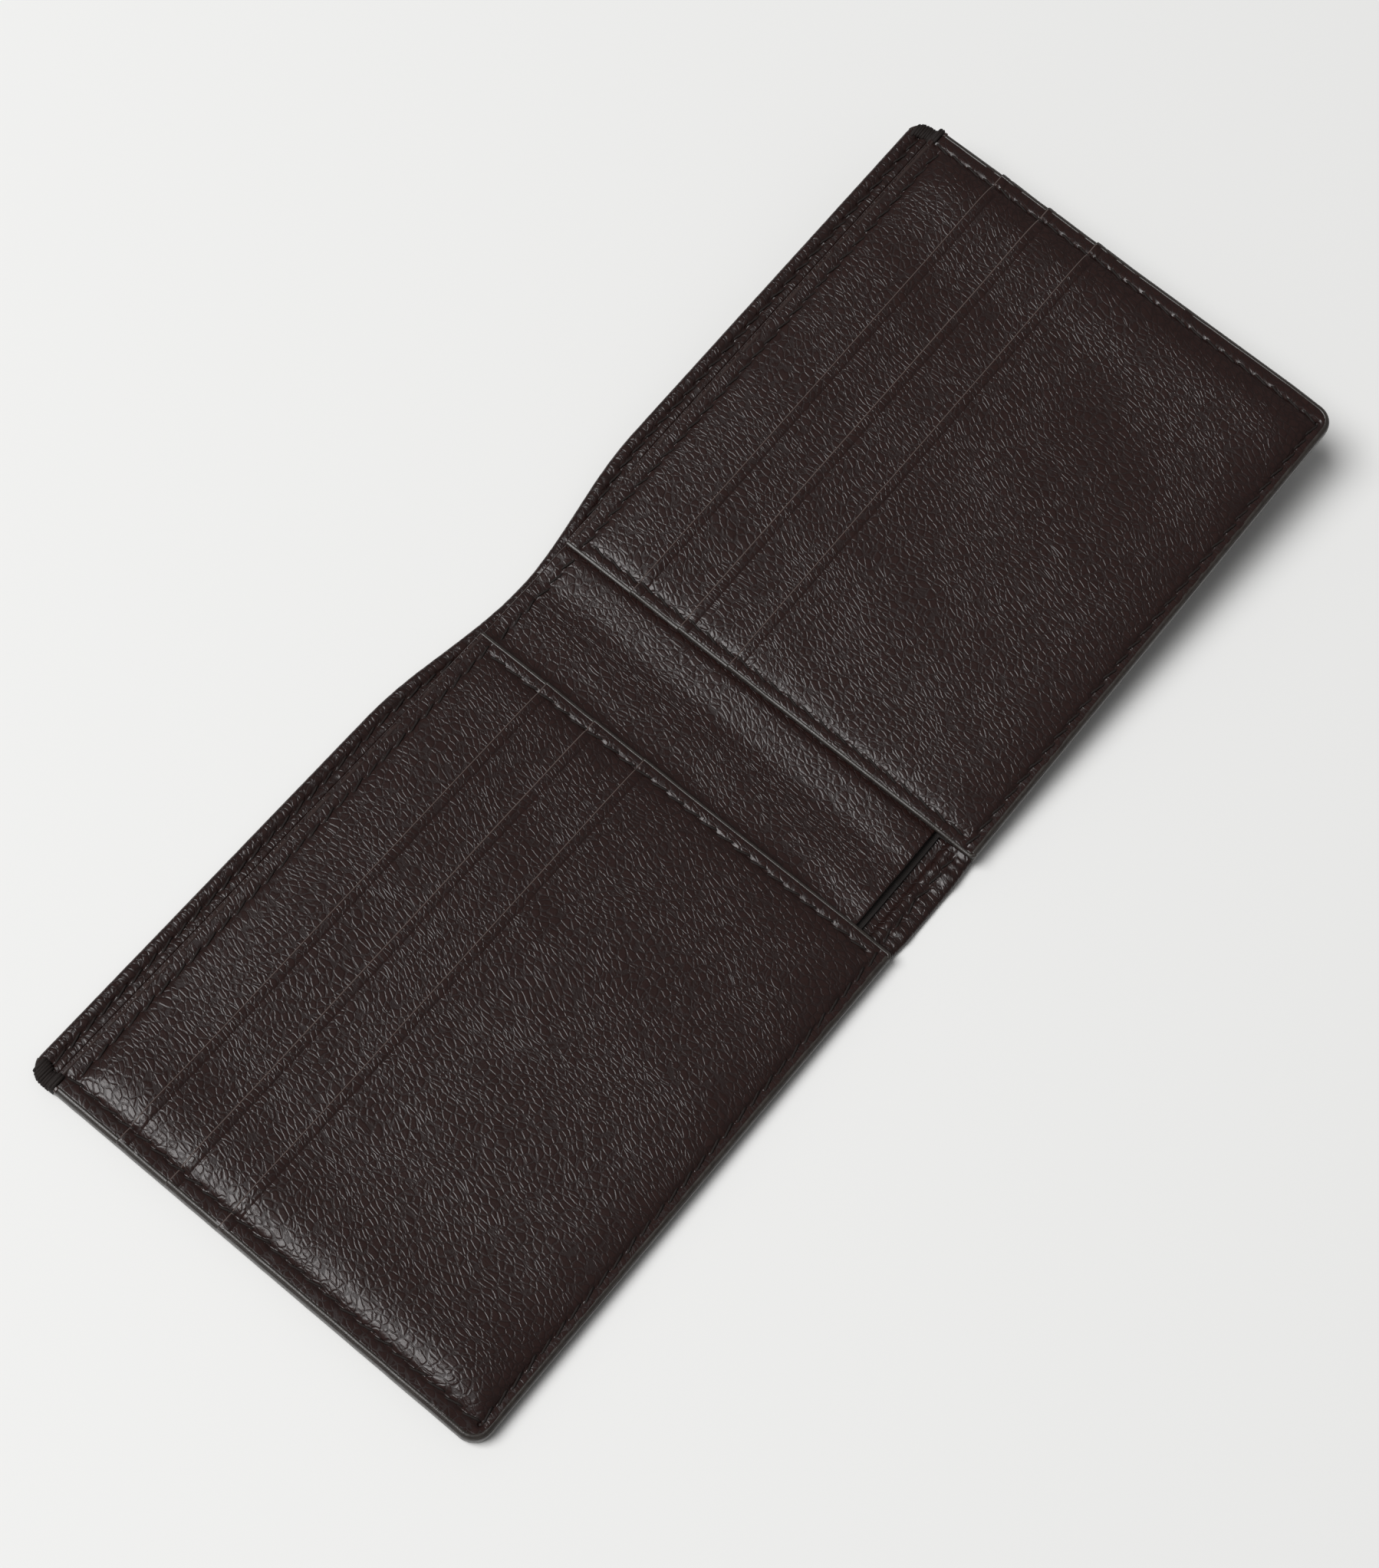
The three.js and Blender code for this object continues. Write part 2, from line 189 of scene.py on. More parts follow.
# ---- from a flat half to the frame ----
def place(side, u, y, z):
    """Points in the frame, in metres, from a half's flat u, y and z."""
    if side == "left":
        return np.stack(np.broadcast_arrays(MIDDLE_X - u, y, z), -1) * MM
    angle = REST_FOLD * smoothstep(u / BEND)
    across, up = u - FOLD_U, z - FOLD_Z
    x = MIDDLE_X + FOLD_U + across * np.cos(angle) - up * np.sin(angle)
    raised = FOLD_Z + across * np.sin(angle) + up * np.cos(angle)
    return np.stack(np.broadcast_arrays(x, y, raised), -1) * MM


def make_piece(name, side, points, faces, polish=None):
    """A mesh from flat u, y, z points. It keeps them, in `flat`, for the materials to lie on."""
    u, y, z = points.T
    if side == "left":
        faces = [face[::-1] for face in faces]
    mesh = bpy.data.meshes.new(name)
    mesh.from_pydata(place(side, u, y, z).tolist(), [], faces)
    flat = np.stack([-u if side == "left" else u, y, z], -1)
    mesh.attributes.new("flat", "FLOAT_VECTOR", "POINT").data.foreach_set(
        "vector", flat.astype(np.float32).ravel()
    )
    if polish is not None:
        mesh.attributes.new("polish", "FLOAT", "POINT").data.foreach_set(
            "value", np.asarray(polish, np.float32).ravel()
        )
    mesh.shade_smooth()
    piece = bpy.data.objects.new(name, mesh)
    bpy.context.scene.collection.objects.link(piece)
    return piece


def sheet_piece(name, side, u, y, top, bottom, polish=None):
    """A closed sheet over a grid of u and y, between two heights."""
    rows, columns = u.shape
    count = rows * columns
    grid = np.stack([u, y], -1).reshape(-1, 2)
    points = np.concatenate([
        np.column_stack([grid, np.broadcast_to(height, u.shape).ravel()]) for height in (top, bottom)
    ])
    index = np.arange(count).reshape(rows, columns)
    upper = np.stack([index[:-1, :-1], index[:-1, 1:], index[1:, 1:], index[1:, :-1]], -1).reshape(-1, 4)
    rim = np.concatenate([index[0], index[1:, -1], index[-1, -2::-1], index[-2:0:-1, 0]])
    following = np.roll(rim, -1)
    wall = np.stack([rim, rim + count, following + count, following], -1)
    faces = np.concatenate([upper, upper[:, ::-1] + count, wall]).tolist()
    if polish is not None:
        polish = np.tile(np.broadcast_to(polish, u.shape).ravel(), 2)
    return make_piece(name, side, points, faces, polish)


def finish_piece(piece, side, material, nodes, crosses_fold=False):
    """Gives a piece its material and hides the CAD nodes that it stands for. A piece on one half is
    attached to that half's body; one across the fold only has its transform baked.
    """
    piece.data.materials.append(material)
    if nodes:
        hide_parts(*nodes)
    if not crosses_fold:
        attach(piece, f"{side}_half")
    elif side == "left":
        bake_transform(piece)
    else:
        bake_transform(piece)


# ---- materials ----
NOISE_SPAN = (0.3, 0.7)  # nearly all of a noise texture's values are between these
MIX_FIRST, MIX_SECOND, MIX_RESULT = 6, 7, 2  # a mix node's colour sockets


class Nodes:
    """A material's node tree, with short calls for the nodes used here."""

    def __init__(self, name):
        self.material = bpy.data.materials.new(name)
        self.material.use_nodes = True
        self.tree = self.material.node_tree
        self.shader = self.tree.nodes["Principled BSDF"]

    def add(self, kind, inputs=None, **settings):
        node = self.tree.nodes.new(kind)
        for key, value in settings.items():
            setattr(node, key, value)
        for key, value in (inputs or {}).items():
            self.feed(node.inputs[key], value)
        return node

    def feed(self, socket, value):
        if isinstance(value, bpy.types.NodeSocket):
            self.tree.links.new(value, socket)
        else:
            socket.default_value = value

    def math(self, operation, *values):
        node = self.add("ShaderNodeMath", operation=operation)
        for socket, value in zip(node.inputs, values):
            self.feed(socket, value)
        return node.outputs[0]

    def attribute(self, name, output="Vector"):
        return self.add("ShaderNodeAttribute", attribute_name=name).outputs[output]

    def noise(self, vector, scale, detail=2.0, output="Fac"):
        inputs = {"Vector": vector, "Scale": scale, "Detail": detail}
        return self.add("ShaderNodeTexNoise", inputs).outputs[output]

    def cells(self, vector, scale):
        """The distance in from the edges of a pattern of cells."""
        inputs = {"Vector": vector, "Scale": scale}
        return self.add("ShaderNodeTexVoronoi", inputs, feature="DISTANCE_TO_EDGE").outputs["Distance"]

    def range(self, value, low, high, to_low=0.0, to_high=1.0):
        """Eases a value between low and high into one between to_low and to_high."""
        inputs = {"Value": value, "From Min": low, "From Max": high, "To Min": to_low, "To Max": to_high}
        return self.add("ShaderNodeMapRange", inputs, interpolation_type="SMOOTHSTEP").outputs["Result"]

    def spread(self, texture, low=0.0, high=1.0):
        """A noise texture stretched to run all the way from low to high."""
        return self.range(texture, *NOISE_SPAN, low, high)

    def mix(self, share, dark, light):
        node = self.add("ShaderNodeMix", data_type="RGBA")
        self.feed(node.inputs["Factor"], share)
        self.feed(node.inputs[MIX_FIRST], dark)
        self.feed(node.inputs[MIX_SECOND], light)
        return node.outputs[MIX_RESULT]

    def vector_math(self, operation, inputs):
        return self.add("ShaderNodeVectorMath", inputs, operation=operation).outputs[0]

    def warped(self, vector, scale, amount):
        """The vector pushed about by noise, so that cells and threads aren't straight."""
        texture = self.noise(vector, scale, output="Color")
        push = self.vector_math("SUBTRACT", {0: texture, 1: (0.5, 0.5, 0.5)})
        scaled = self.vector_math("SCALE", {0: push, "Scale": amount})
        return self.vector_math("ADD", {0: vector, 1: scaled})

    def surface(self, share, dark, light, roughness, relief, depth_mm):
        """The finished material, with its colour, roughness and relief."""
        inputs = {"Height": relief, "Distance": depth_mm * MM, "Strength": 1.0}
        self.feed(self.shader.inputs["Base Color"], self.mix(share, dark, light))
        self.feed(self.shader.inputs["Roughness"], roughness)
        self.feed(self.shader.inputs["Normal"], self.add("ShaderNodeBump", inputs).outputs["Normal"])
        return self.material


# The leather's grain. Each scale is in repeats to a millimetre, or to a cell where its name has CELL.
# An edge is how far in from its crease a cell's dome rises, and shares are of the bump's depth.
GRAIN_TURN = math.radians(-15)  # the pebbles' long way, turned from y
GRAIN_STRETCH = 1.75
DRIFT_SCALE, DRIFT_MM = 0.04, 9.0  # the grain's slow turns
CELL_WARP_SCALE, CELL_WARP = 0.7, 0.8
DOME_EDGE = 0.22
SMALL_CELL_SCALE, SMALL_EDGE, SMALL_SHARE = 2.2, 0.3, 0.12
CELL_SWELL_SCALE, SWELL_SHARE = 0.5, 0.25
FINE_SCALE, FINE_SHARE = 5.0, 0.04
PATCH_SCALE, WEAKEST_DOME = 0.12, 0.85  # patches where the domes are flatter
PRESSED_RELIEF = 0.15  # the relief left at full polish

# The leather's colour and shine. Its creases are painted darker, as shade.
SHADE_SCALE, SHADE_LEAST = 0.5, 0.6
# The lighter colour of the most polished edges: partly wear, partly a painted highlight along their
# rounded tops.
WORN_AND_HIGHLIT_EDGE = (0.095, 0.073, 0.066, 1)
WORN_AND_HIGHLIT_FROM, WORN_AND_HIGHLIT_SHARE = 0.8, 0.95
MOTTLE_SCALE, MOTTLE = 0.35, 0.02
ROUGHNESS, CREASE_ROUGHNESS = 0.25, 0.15
POLISH_SHINE = 0.08
LEATHER_SPECULAR = 0.32


def grain(n, flat, cell_mm):
    """The relief of pebbled leather, and the domes of its cells."""
    drifting = n.warped(flat, DRIFT_SCALE, DRIFT_MM)
    turned = {"Vector": drifting, "Rotation": (0, 0, GRAIN_TURN), "Scale": (1.0, GRAIN_STRETCH, 1.0)}
    stretched = n.add("ShaderNodeMapping", turned, vector_type="TEXTURE").outputs[0]
    warped = n.warped(stretched, CELL_WARP_SCALE / cell_mm, CELL_WARP * cell_mm)
    dome = n.range(n.cells(warped, 1 / cell_mm), 0.0, DOME_EDGE)
    small = n.range(n.cells(warped, SMALL_CELL_SCALE / cell_mm), 0.0, SMALL_EDGE)
    swell = n.noise(stretched, CELL_SWELL_SCALE / cell_mm, 1.0)
    fine = n.noise(flat, FINE_SCALE)
    relief = n.math("MULTIPLY", dome, n.spread(n.noise(stretched, PATCH_SCALE), WEAKEST_DOME))
    for layer, share in ((small, SMALL_SHARE), (swell, SWELL_SHARE), (fine, FINE_SHARE)):
        relief = n.math("ADD", relief, n.math("MULTIPLY", layer, share))
    return relief, dome


def leather(name, dark, light, cell_mm, depth_mm):
    """Pebbled leather: domed cells between fine creases, pressed smooth where `polish` is high."""
    n = Nodes(name)
    flat = n.attribute("flat")
    polish = n.attribute("polish", "Fac")
    relief, dome = grain(n, flat, cell_mm)
    relief = n.math("MULTIPLY", relief, n.range(polish, 0.0, 1.0, 1.0, PRESSED_RELIEF))
    # Painted shade: the creases between the cells take the dark colour and the domes the light one, with
    # random tone on top.
    shade = n.math("MULTIPLY", dome, n.spread(n.noise(flat, SHADE_SCALE, 4.0), SHADE_LEAST))
    # Painted highlight, partly wear: where the polish is highest the colour turns lighter.
    worn_and_highlit = n.range(polish, WORN_AND_HIGHLIT_FROM, 1.0, 0.0, WORN_AND_HIGHLIT_SHARE)
    mottled = n.spread(n.noise(flat, MOTTLE_SCALE, 3.0), ROUGHNESS + MOTTLE, ROUGHNESS - MOTTLE)
    creased = n.math("ADD", mottled, n.range(dome, 0.1, 0.5, CREASE_ROUGHNESS, 0.0))
    roughness = n.math("SUBTRACT", creased, n.math("MULTIPLY", polish, POLISH_SHINE))
    n.shader.inputs["Specular IOR Level"].default_value = LEATHER_SPECULAR
    return n.surface(worn_and_highlit, n.mix(shade, dark, light), WORN_AND_HIGHLIT_EDGE, roughness, relief, depth_mm)


def edge_paint(name, dark, light):
    """The smooth, slightly uneven paint that seals a cut leather edge."""
    n = Nodes(name)
    flat = n.attribute("flat")
    runs = n.add("ShaderNodeMapping", {"Vector": flat, "Scale": (1.0, 1.0, 3.0)}).outputs[0]
    share = n.spread(n.noise(runs, 0.8, 3.0))
    roughness = n.spread(n.noise(flat, 2.0, 3.0), 0.28, 0.4)
    return n.surface(share, dark, light, roughness, n.noise(flat, 4.0, 4.0), depth_mm=0.03)


def thread_material(name, dark, light):
    """Waxed thread: fine fibres along a dark twist."""
    n = Nodes(name)
    fibres = n.noise(n.warped(n.attribute("flat"), 3.0, 0.3), 14.0, 3.0)
    share = n.range(fibres, 0.35, 0.7)
    n.shader.inputs["Specular IOR Level"].default_value = 0.25
    return n.surface(share, dark, light, n.spread(fibres, 0.62, 0.8), fibres, depth_mm=0.03)


WAVE_SCALE = 0.314  # at this scale a wave texture repeats once in each millimetre


def weave(name, dark, light, yarn_mm):
    """A fine plain weave for the linings."""
    n = Nodes(name)
    flat = n.warped(n.attribute("flat"), 0.8, 0.08)
    inputs = {"Vector": flat, "Scale": WAVE_SCALE / yarn_mm, "Distortion": 0.2}
    yarns = [
        n.add("ShaderNodeTexWave", inputs, wave_type="BANDS", bands_direction=direction).outputs["Fac"]
        for direction in ("X", "Y")
    ]
    cloth = n.math("MAXIMUM", *yarns)
    n.shader.inputs["Sheen Weight"].default_value = 0.2
    n.shader.inputs["Sheen Roughness"].default_value = 0.4
    return n.surface(cloth, dark, light, n.range(cloth, 0.0, 1.0, 0.9, 0.7), cloth, depth_mm=0.05)


def cardboard(name, dark, light):
    """Pressed pulp, for the stiffeners' own meshes, which have no `flat`."""
    n = Nodes(name)
    pulp = n.noise(n.add("ShaderNodeTexCoord").outputs["Object"], 900.0, 5.0)
    return n.surface(n.spread(pulp), dark, light, n.spread(pulp, 0.8, 0.95), pulp, depth_mm=0.05)


OUTER_LEATHER = leather(
    "cover_leather", (0.012, 0.0054, 0.0046, 1), (0.0215, 0.0104, 0.0090, 1), cell_mm=1.0, depth_mm=0.048
)
INNER_LEATHER = leather(
    "panel_leather", (0.013, 0.0056, 0.0048, 1), (0.0222, 0.0104, 0.0090, 1), cell_mm=0.95, depth_mm=0.044
)
PAINT = edge_paint("edge_paint", (0.022, 0.0175, 0.015, 1), (0.034, 0.028, 0.024, 1))
THREAD = thread_material("waxed_thread", (0.007, 0.0046, 0.0040, 1), (0.020, 0.0138, 0.0118, 1))
LINING = weave("lining_weave", (0.010, 0.007, 0.006, 1), (0.022, 0.016, 0.014, 1), yarn_mm=0.25)
BOARD = cardboard("stiffener_board", (0.07, 0.055, 0.045, 1), (0.13, 0.105, 0.085, 1))


# ---- seams ----
def seam_holes(start, end):
    """Evenly spaced needle holes from start to end, about PITCH apart."""
    count = max(2, round(abs(end - start) / PITCH) + 1)
    return np.linspace(start, end, count)


# Each seam of a card panel: the axis that it runs along, its place on the other axis, and its ends.
PANEL_SEAMS = {
    "outer": ("y", OUTER_SEAM_U, BOTTOM_SEAM_Y, INTERIOR_TOP - 1.2),
    "bottom": ("u", BOTTOM_SEAM_Y, INNER + SEAM_GAP, OUTER_SEAM_U),
    "inner": ("y", INNER_SEAM_U, BOTTOM_SEAM_Y + 1.6, TOP_SEAM_Y - SEAM_GAP),
    "top": ("u", TOP_SEAM_Y, INNER + SEAM_GAP, OUTER_SEAM_U - SEAM_GAP),
}
COVER_SEAM_END = OUTER - 3.2
SPINE_SEAM = ("u", SPINE_SEAM_Y, 0.0, INNER - 1.2)
DIVIDER_SEAM = ("u", TOP_SEAM_Y, 0, INNER - SEAM_GAP)

# The relief of a seam.
GROOVE, GROOVE_WIDTH = 0.14, 0.5
HOLE, HOLE_WIDTH = 0.2, 0.4
SEAM_FADE = 0.8  # how far past its last hole a groove runs out


def seam_relief(along, across, start, end, groove=GROOVE, hole=HOLE):
    """The groove that a row of stitches pulls into the leather, deeper at each needle hole."""
    holes = seam_holes(start, end)
    pitch = holes[1] - holes[0]
    phase = (along - start) / pitch
    near = np.abs(phase - np.round(phase)) * pitch
    inside = smoothstep((along - start) / SEAM_FADE + 1) * smoothstep((end - along) / SEAM_FADE + 1)
    pits = hole * bell(across, HOLE_WIDTH) * bell(near, HOLE_WIDTH)
    return -inside * (groove * bell(across, GROOVE_WIDTH) + pits)


def panel_seams(u, y, hole=HOLE):
    """The relief of a card panel's four seams together."""
    total = 0
    for axis, across, start, end in PANEL_SEAMS.values():
        along, off = (y, u - across) if axis == "y" else (u, y - across)
        total = total + seam_relief(along, off, start, end, hole=hole)
    return total


# ---- the card panels' relief ----
# How far the panel swells: all over, and more along two of its seams.
SWELL = 0.4
OUTER_SWELL, OUTER_SWELL_WIDTH = 0.95, 12
BOTTOM_SWELL, BOTTOM_SWELL_WIDTH = 0.1, 9
# How far in from each seam the swelling takes to build up.
OUTER_RISE, INNER_RISE, BOTTOM_RISE, TOP_RISE = 2.5, 2.0, 1.6, 2.2


def rise(distance, length):
    """Nothing at no distance, and nearly one from three lengths onwards."""
    return 1 - np.exp(-np.maximum(distance, 0) / length)


def puff(u, y):
    """How far the panel's layers swell between their seams. All the layers share it."""
    from_outer = OUTER_SEAM_U - u
    from_bottom = y - BOTTOM_SEAM_Y
    held = rise(from_outer, OUTER_RISE) * rise(u - INNER_SEAM_U, INNER_RISE)
    held = held * rise(from_bottom, BOTTOM_RISE) * rise(TOP_SEAM_Y - y, TOP_RISE)
    crown = SWELL + OUTER_SWELL * bell(from_outer, OUTER_SWELL_WIDTH)
    return held * (crown + BOTTOM_SWELL * bell(from_bottom, BOTTOM_SWELL_WIDTH))


PUCKER_WIDTH, PUCKER_LENGTH = 0.9, 4
SIDE_PUCKER, END_PUCKER = 0.05, 0.04  # heights, at the panel's sides and at its top and bottom
PANEL_UNEVEN = ((12, 10, 0.025), (2.2, 2.2, 0.008))


def fade(distance, length):
    """From one on a seam down to nothing, on both of its sides."""
    return np.exp(-np.abs(distance) / length)


def wrinkles(u, y, seed):
    """Fine puckers square to the seams, and the leather's slow unevenness."""
    at_sides = fade(OUTER_SEAM_U - u, 3) + 0.6 * fade(u - INNER_SEAM_U, 2)
    at_ends = fade(y - BOTTOM_SEAM_Y, 2) + fade(TOP_SEAM_Y - y, 1.5)
    across = SIDE_PUCKER * noise(y / PUCKER_WIDTH, u / PUCKER_LENGTH, seed) * at_sides
    along = END_PUCKER * noise(u / PUCKER_WIDTH, y / PUCKER_LENGTH, seed + 1) * at_ends
    return across + along + uneven(u, y, PANEL_UNEVEN, seed + 2)


def corner_inset(y, high, high_radius):
    """How far the outer edge stands back at a y, for the rounded corners at the bottom and at high."""
    return round_over(y - BOTTOM, CORNER) + round_over(high - y, high_radius)


def panel_depth(u, y):
    """The distance in from the panel's outer edge and bottom edge, round their corners."""
    edge = OUTER - corner_inset(y, INTERIOR_TOP, PANEL_CORNER)
    over_u, over_y = u - (OUTER - CORNER), BOTTOM + CORNER - y
    corner = CORNER - np.hypot(np.maximum(over_u, 0), np.maximum(over_y, 0))
    inside = np.minimum(edge - u, y - BOTTOM)
    return np.where((over_u > 0) & (over_y > 0), corner, inside)


def near_outer_end(u):
    """One at the outer end, and nothing from CORNER_REACH inwards."""
    return np.clip((u - (OUTER - CORNER_REACH)) / CORNER_REACH, 0, 1)


def panel_grid(us, ys, high=INTERIOR_TOP, high_radius=PANEL_CORNER):
    """A grid of u and y that follows the rounded outer corners."""
    u = us[None, :] - corner_inset(ys, high, high_radius)[:, None] * near_outer_end(us)[None, :]
    if us[0] == INNER:
        near_spine = np.clip((INNER + INNER_CORNER_REACH - us) / INNER_CORNER_REACH, 0, 1)
        u = u + round_over(ys - BOTTOM, INNER_CORNER)[:, None] * near_spine[None, :]
    return u, np.broadcast_to(ys[:, None], u.shape)


STEP_GAP = 0.4  # how far below the end of the leather behind it a pocket starts to rise


def overlap(y, end, edge, low, high):
    """A pocket's underside: high at its slot edge, and low where the thinned leather behind it ends."""
    return low + (high - low) * np.clip((y - end + STEP_GAP) / (edge - end), 0, 1)


def strip_height(y):
    return np.full_like(y, STRIP_Z[0])


def upper_height(y):
    return overlap(y, STRIP_END, UPPER_EDGE, UPPER_Z[0], UPPER_Z[1] - LEATHER)


def middle_height(y):
    return overlap(y, UPPER_END, MIDDLE_EDGE, MIDDLE_Z[0], MIDDLE_Z[1] - LEATHER)


def front_height(y):
    low = LINING_MIDDLE_Z[1] + CLEARANCE
    over_lining = smoothstep((y - BOTTOM_SEAM_Y) / (LINING_MIDDLE_END - BOTTOM_SEAM_Y))
    at_seam = FRONT_Z[0] + (low - FRONT_Z[0]) * over_lining
    return at_seam + overlap(y, MIDDLE_END, FRONT_EDGE, 0, FRONT_Z[1] - LEATHER - low)


# Each piece of the panel's leather: its lower end, its slot edge, its underside's height, and the
# pocket in front, which its lower end runs behind.
PANEL_LEATHER = {
    "top_strip": (STRIP_END, INTERIOR_TOP, strip_height, "pocket_upper"),
    "pocket_upper": (UPPER_END, UPPER_EDGE, upper_height, "pocket_middle"),
    "pocket_middle": (MIDDLE_END, MIDDLE_EDGE, middle_height, "pocket_front"),
    "pocket_front": (BOTTOM, FRONT_EDGE, front_height, None),
}


def panel_top(y):
    """The height of the uppermost leather at a y, before it swells."""
    above = [y > UPPER_EDGE, y > MIDDLE_EDGE, y > FRONT_EDGE]
    under = [strip_height(y), upper_height(y), middle_height(y)]
    return np.select(above, under, front_height(y)) + LEATHER


def panel_surface(u, y, seed):
    """The height of the panel's visible surface under a seam, without the needle holes."""
    return panel_top(y) + puff(u, y) + panel_seams(u, y, hole=0) + wrinkles(u, y, seed)


RIM_POLISH, INNER_RIM_POLISH = 0.75, 0.6
# Nearest the edge the polish also lightens the colour, partly as wear and partly as a painted highlight.
POLISHED_EDGE = 0.42  # how far in from a turned edge it is worn smooth


def pressed(u, y, depth):
    """Where the grain is pressed smooth: the rims outside the seams, and the turned edges."""
    outer = smoothstep((u - OUTER_SEAM_U + 0.3) / 0.8)
    low = smoothstep((BOTTOM_SEAM_Y + 0.2 - y) / 0.6)
    inner = INNER_RIM_POLISH * smoothstep((INNER_SEAM_U - 0.2 - u) / 0.8)
    rims = np.maximum(np.maximum(outer, low), inner)
    return np.maximum(RIM_POLISH * rims, smoothstep((POLISHED_EDGE - depth) / 0.2))


# How far in from its edges the panel's leather starts to bend down, and by how much.
EDGE_SHOULDER, EDGE_BEND = 0.8, 0.4
INNER_SHOULDER, INNER_BEND = 0.7, 0.28
EDGE_ROUNDING = 0.48 * LEATHER
# The creased line beside a slot edge, the lip between the two, and how far each is below the edge.
CREASE_DROP, CREASE_DEPTH, CREASE_WIDTH = 2.0, 0.1, 0.28
LIP_DROP, LIP_HEIGHT, LIP_WIDTH = 0.6, 0.04, 0.5
BAND_POLISH = 0.25  # above the crease


def leather_top(name, y):
    """The top of a piece of leather, thinned where it runs behind the pocket in front."""
    height, front = PANEL_LEATHER[name][2:]
    top = height(y) + LEATHER
    if front is None:
        return top
    edge, cover = PANEL_LEATHER[front][1:3]
    thinned = np.maximum(cover(y) - CLEARANCE, height(y) + CLEARANCE)
    return np.where(y < edge, np.minimum(top, thinned), top)


def panel_leather(side, name, seed):
    """One piece of the panel's leather, with a turned slot edge and a creased line beside it."""
    low, edge, height, _ = PANEL_LEATHER[name]
    has_slot = name != "top_strip"
    us = stations(INNER, OUTER, 0.5, (INNER_SEAM_U, OUTER_SEAM_U), fine=0.07)
    ys = stations(low, edge, 0.5, (edge - CREASE_DROP, TOP_SEAM_Y, BOTTOM_SEAM_Y), fine=0.06)
    u, y = panel_grid(us, ys)
    painted = panel_depth(u, y)
    depth = u - u[:, :1]
    relief = panel_seams(u, y) - EDGE_BEND * smoothstep(1 - painted / EDGE_SHOULDER)
    relief = relief - INNER_BEND * smoothstep(1 - depth / INNER_SHOULDER)
    band = 0
    if has_slot:
        depth = np.minimum(depth, edge - y)
        relief = relief - CREASE_DEPTH * bell(y - edge + CREASE_DROP, CREASE_WIDTH)
        relief = relief + LIP_HEIGHT * bell(y - edge + LIP_DROP, LIP_WIDTH)
        band = BAND_POLISH * smoothstep((y - edge + CREASE_DROP) / 0.3)
    drop = round_over(depth, EDGE_ROUNDING)
    lift = puff(u, y) + wrinkles(u, y, seed)
    top = leather_top(name, y) + lift + relief - drop
    bottom = np.minimum(height(y) + lift + drop, top - THINNEST)
    # Where this share is highest it also lightens the colour: wear and a painted highlight.
    smooth = np.maximum(pressed(u, y, depth), band)
    made = sheet_piece(f"{name}_leather_{side}", side, u, y, top, bottom, smooth)
    finish_piece(made, side, INNER_LEATHER, [f"{name}_{side}"])


def fabric_sheet(name, side, u, y, swell=0.0, crosses_fold=False):
    """A lining: a thin sheet laid between two layers of leather."""
    low, high = heights(name)
    made = sheet_piece(f"{name}_cloth_{side}", side, u, y, high + swell, low + swell)
    nodes = [f"{name}_{side}"]
    if crosses_fold:
        nodes.append(f"{name}_spine")
    finish_piece(made, side, LINING, nodes, crosses_fold)


def panel_linings(side, seed):
    """The panel's base and the two pockets' linings."""
    us = stations(INNER, OUTER - EDGE_INSET, 1.5, fine=0.3)
    ys = stations(BOTTOM + EDGE_INSET, INTERIOR_TOP - EDGE_INSET, 1.5, fine=0.3)
    fabric_sheet("card_base", side, *panel_grid(us, ys))
    for pocket in ("upper", "middle"):
        name = f"pocket_lining_{pocket}"
        low = extent(f"{name}_left", "y")[0]
        high = extent(f"pocket_{pocket}_left", "y")[0]
        us = stations(INNER + 0.5, OUTER - 1, 0.7, (INNER_SEAM_U, OUTER_SEAM_U), fine=0.2)
        ys = stations(low, high - CLEARANCE, 0.7, fine=0.2)
        u, y = np.meshgrid(us, ys)
        fabric_sheet(name, side, u, y, swell=puff(u, y) + wrinkles(u, y, seed))


# ---- the cover, the divider and their linings ----
def top_edge(u):
    """The cover's top edge, which dips at the spine."""
    reach = np.minimum(np.abs(u) / DIP_REACH, 1)
    return TOP - SPINE_DIP * (1 + np.cos(np.pi * reach)) / 2


def bottom_edge(u):
    """The cover's bottom edge, whose turned edge bows out a little at the spine."""
    return BOTTOM - SPINE_BOW * smoothstep((INNER + 0.5 - u) / 6)


# The cover's rows follow its dip and its bow from this far in, and ease into them over this.
DIP_FOLLOW, DIP_EASE = 22, 14
BOW_FOLLOW, BOW_EASE = 12, 8


def cover_grid():
    """A grid of the cover, which follows its corners, its dip and its bow."""
    us = stations(0, OUTER, 0.35, (INNER, OUTER_SEAM_U), fine=0.12)
    features = (BOTTOM_SEAM_Y, SPINE_SEAM_Y, HEM_BOTTOM, TOP - HEM, TOP - HEM_SEAM)
    ys = stations(BOTTOM, TOP, 1.2, features, fine=0.08)
    u, y = panel_grid(us, ys, TOP, CORNER)
    y = y + (top_edge(u) - TOP) * smoothstep((y - TOP + DIP_FOLLOW) / DIP_EASE)
    y = y + (bottom_edge(u) - BOTTOM) * smoothstep((BOTTOM + BOW_FOLLOW - y) / BOW_EASE)
    return u, y


# A turned edge's gathers: width, length, height, and the extra height at the spine.
CRINKLES = ((0.5, 5, 0.05, 0.06), (1.4, 6, 0.05, 0.07))
CRINKLE_REACH = 26
SPINE_CRINKLE = 1.4  # deeper by this in the spine's bottom edge
HEM_GROOVE, SPINE_GROOVE, SHALLOW_GROOVE = 0.26, 0.2, 0.12  # the seams' depths
TOP_ROLL, TOP_ROLL_DROP = 0.16, 1.2  # a turned edge's roll, and how far in it crests
SPINE_ROLL, SPINE_ROLL_RISE = 0.14, 1.3
ROLL_WIDTH = 0.9


def hem_crinkles(u, y, seed):
    """The turned edges' gathers, square to the edge, deeper towards the spine."""
    near_spine = bell(u, CRINKLE_REACH)
    return sum(
        noise(u / width, y / length, seed + number) * (height + extra * near_spine)
        for number, (width, length, height, extra) in enumerate(CRINKLES)
    )


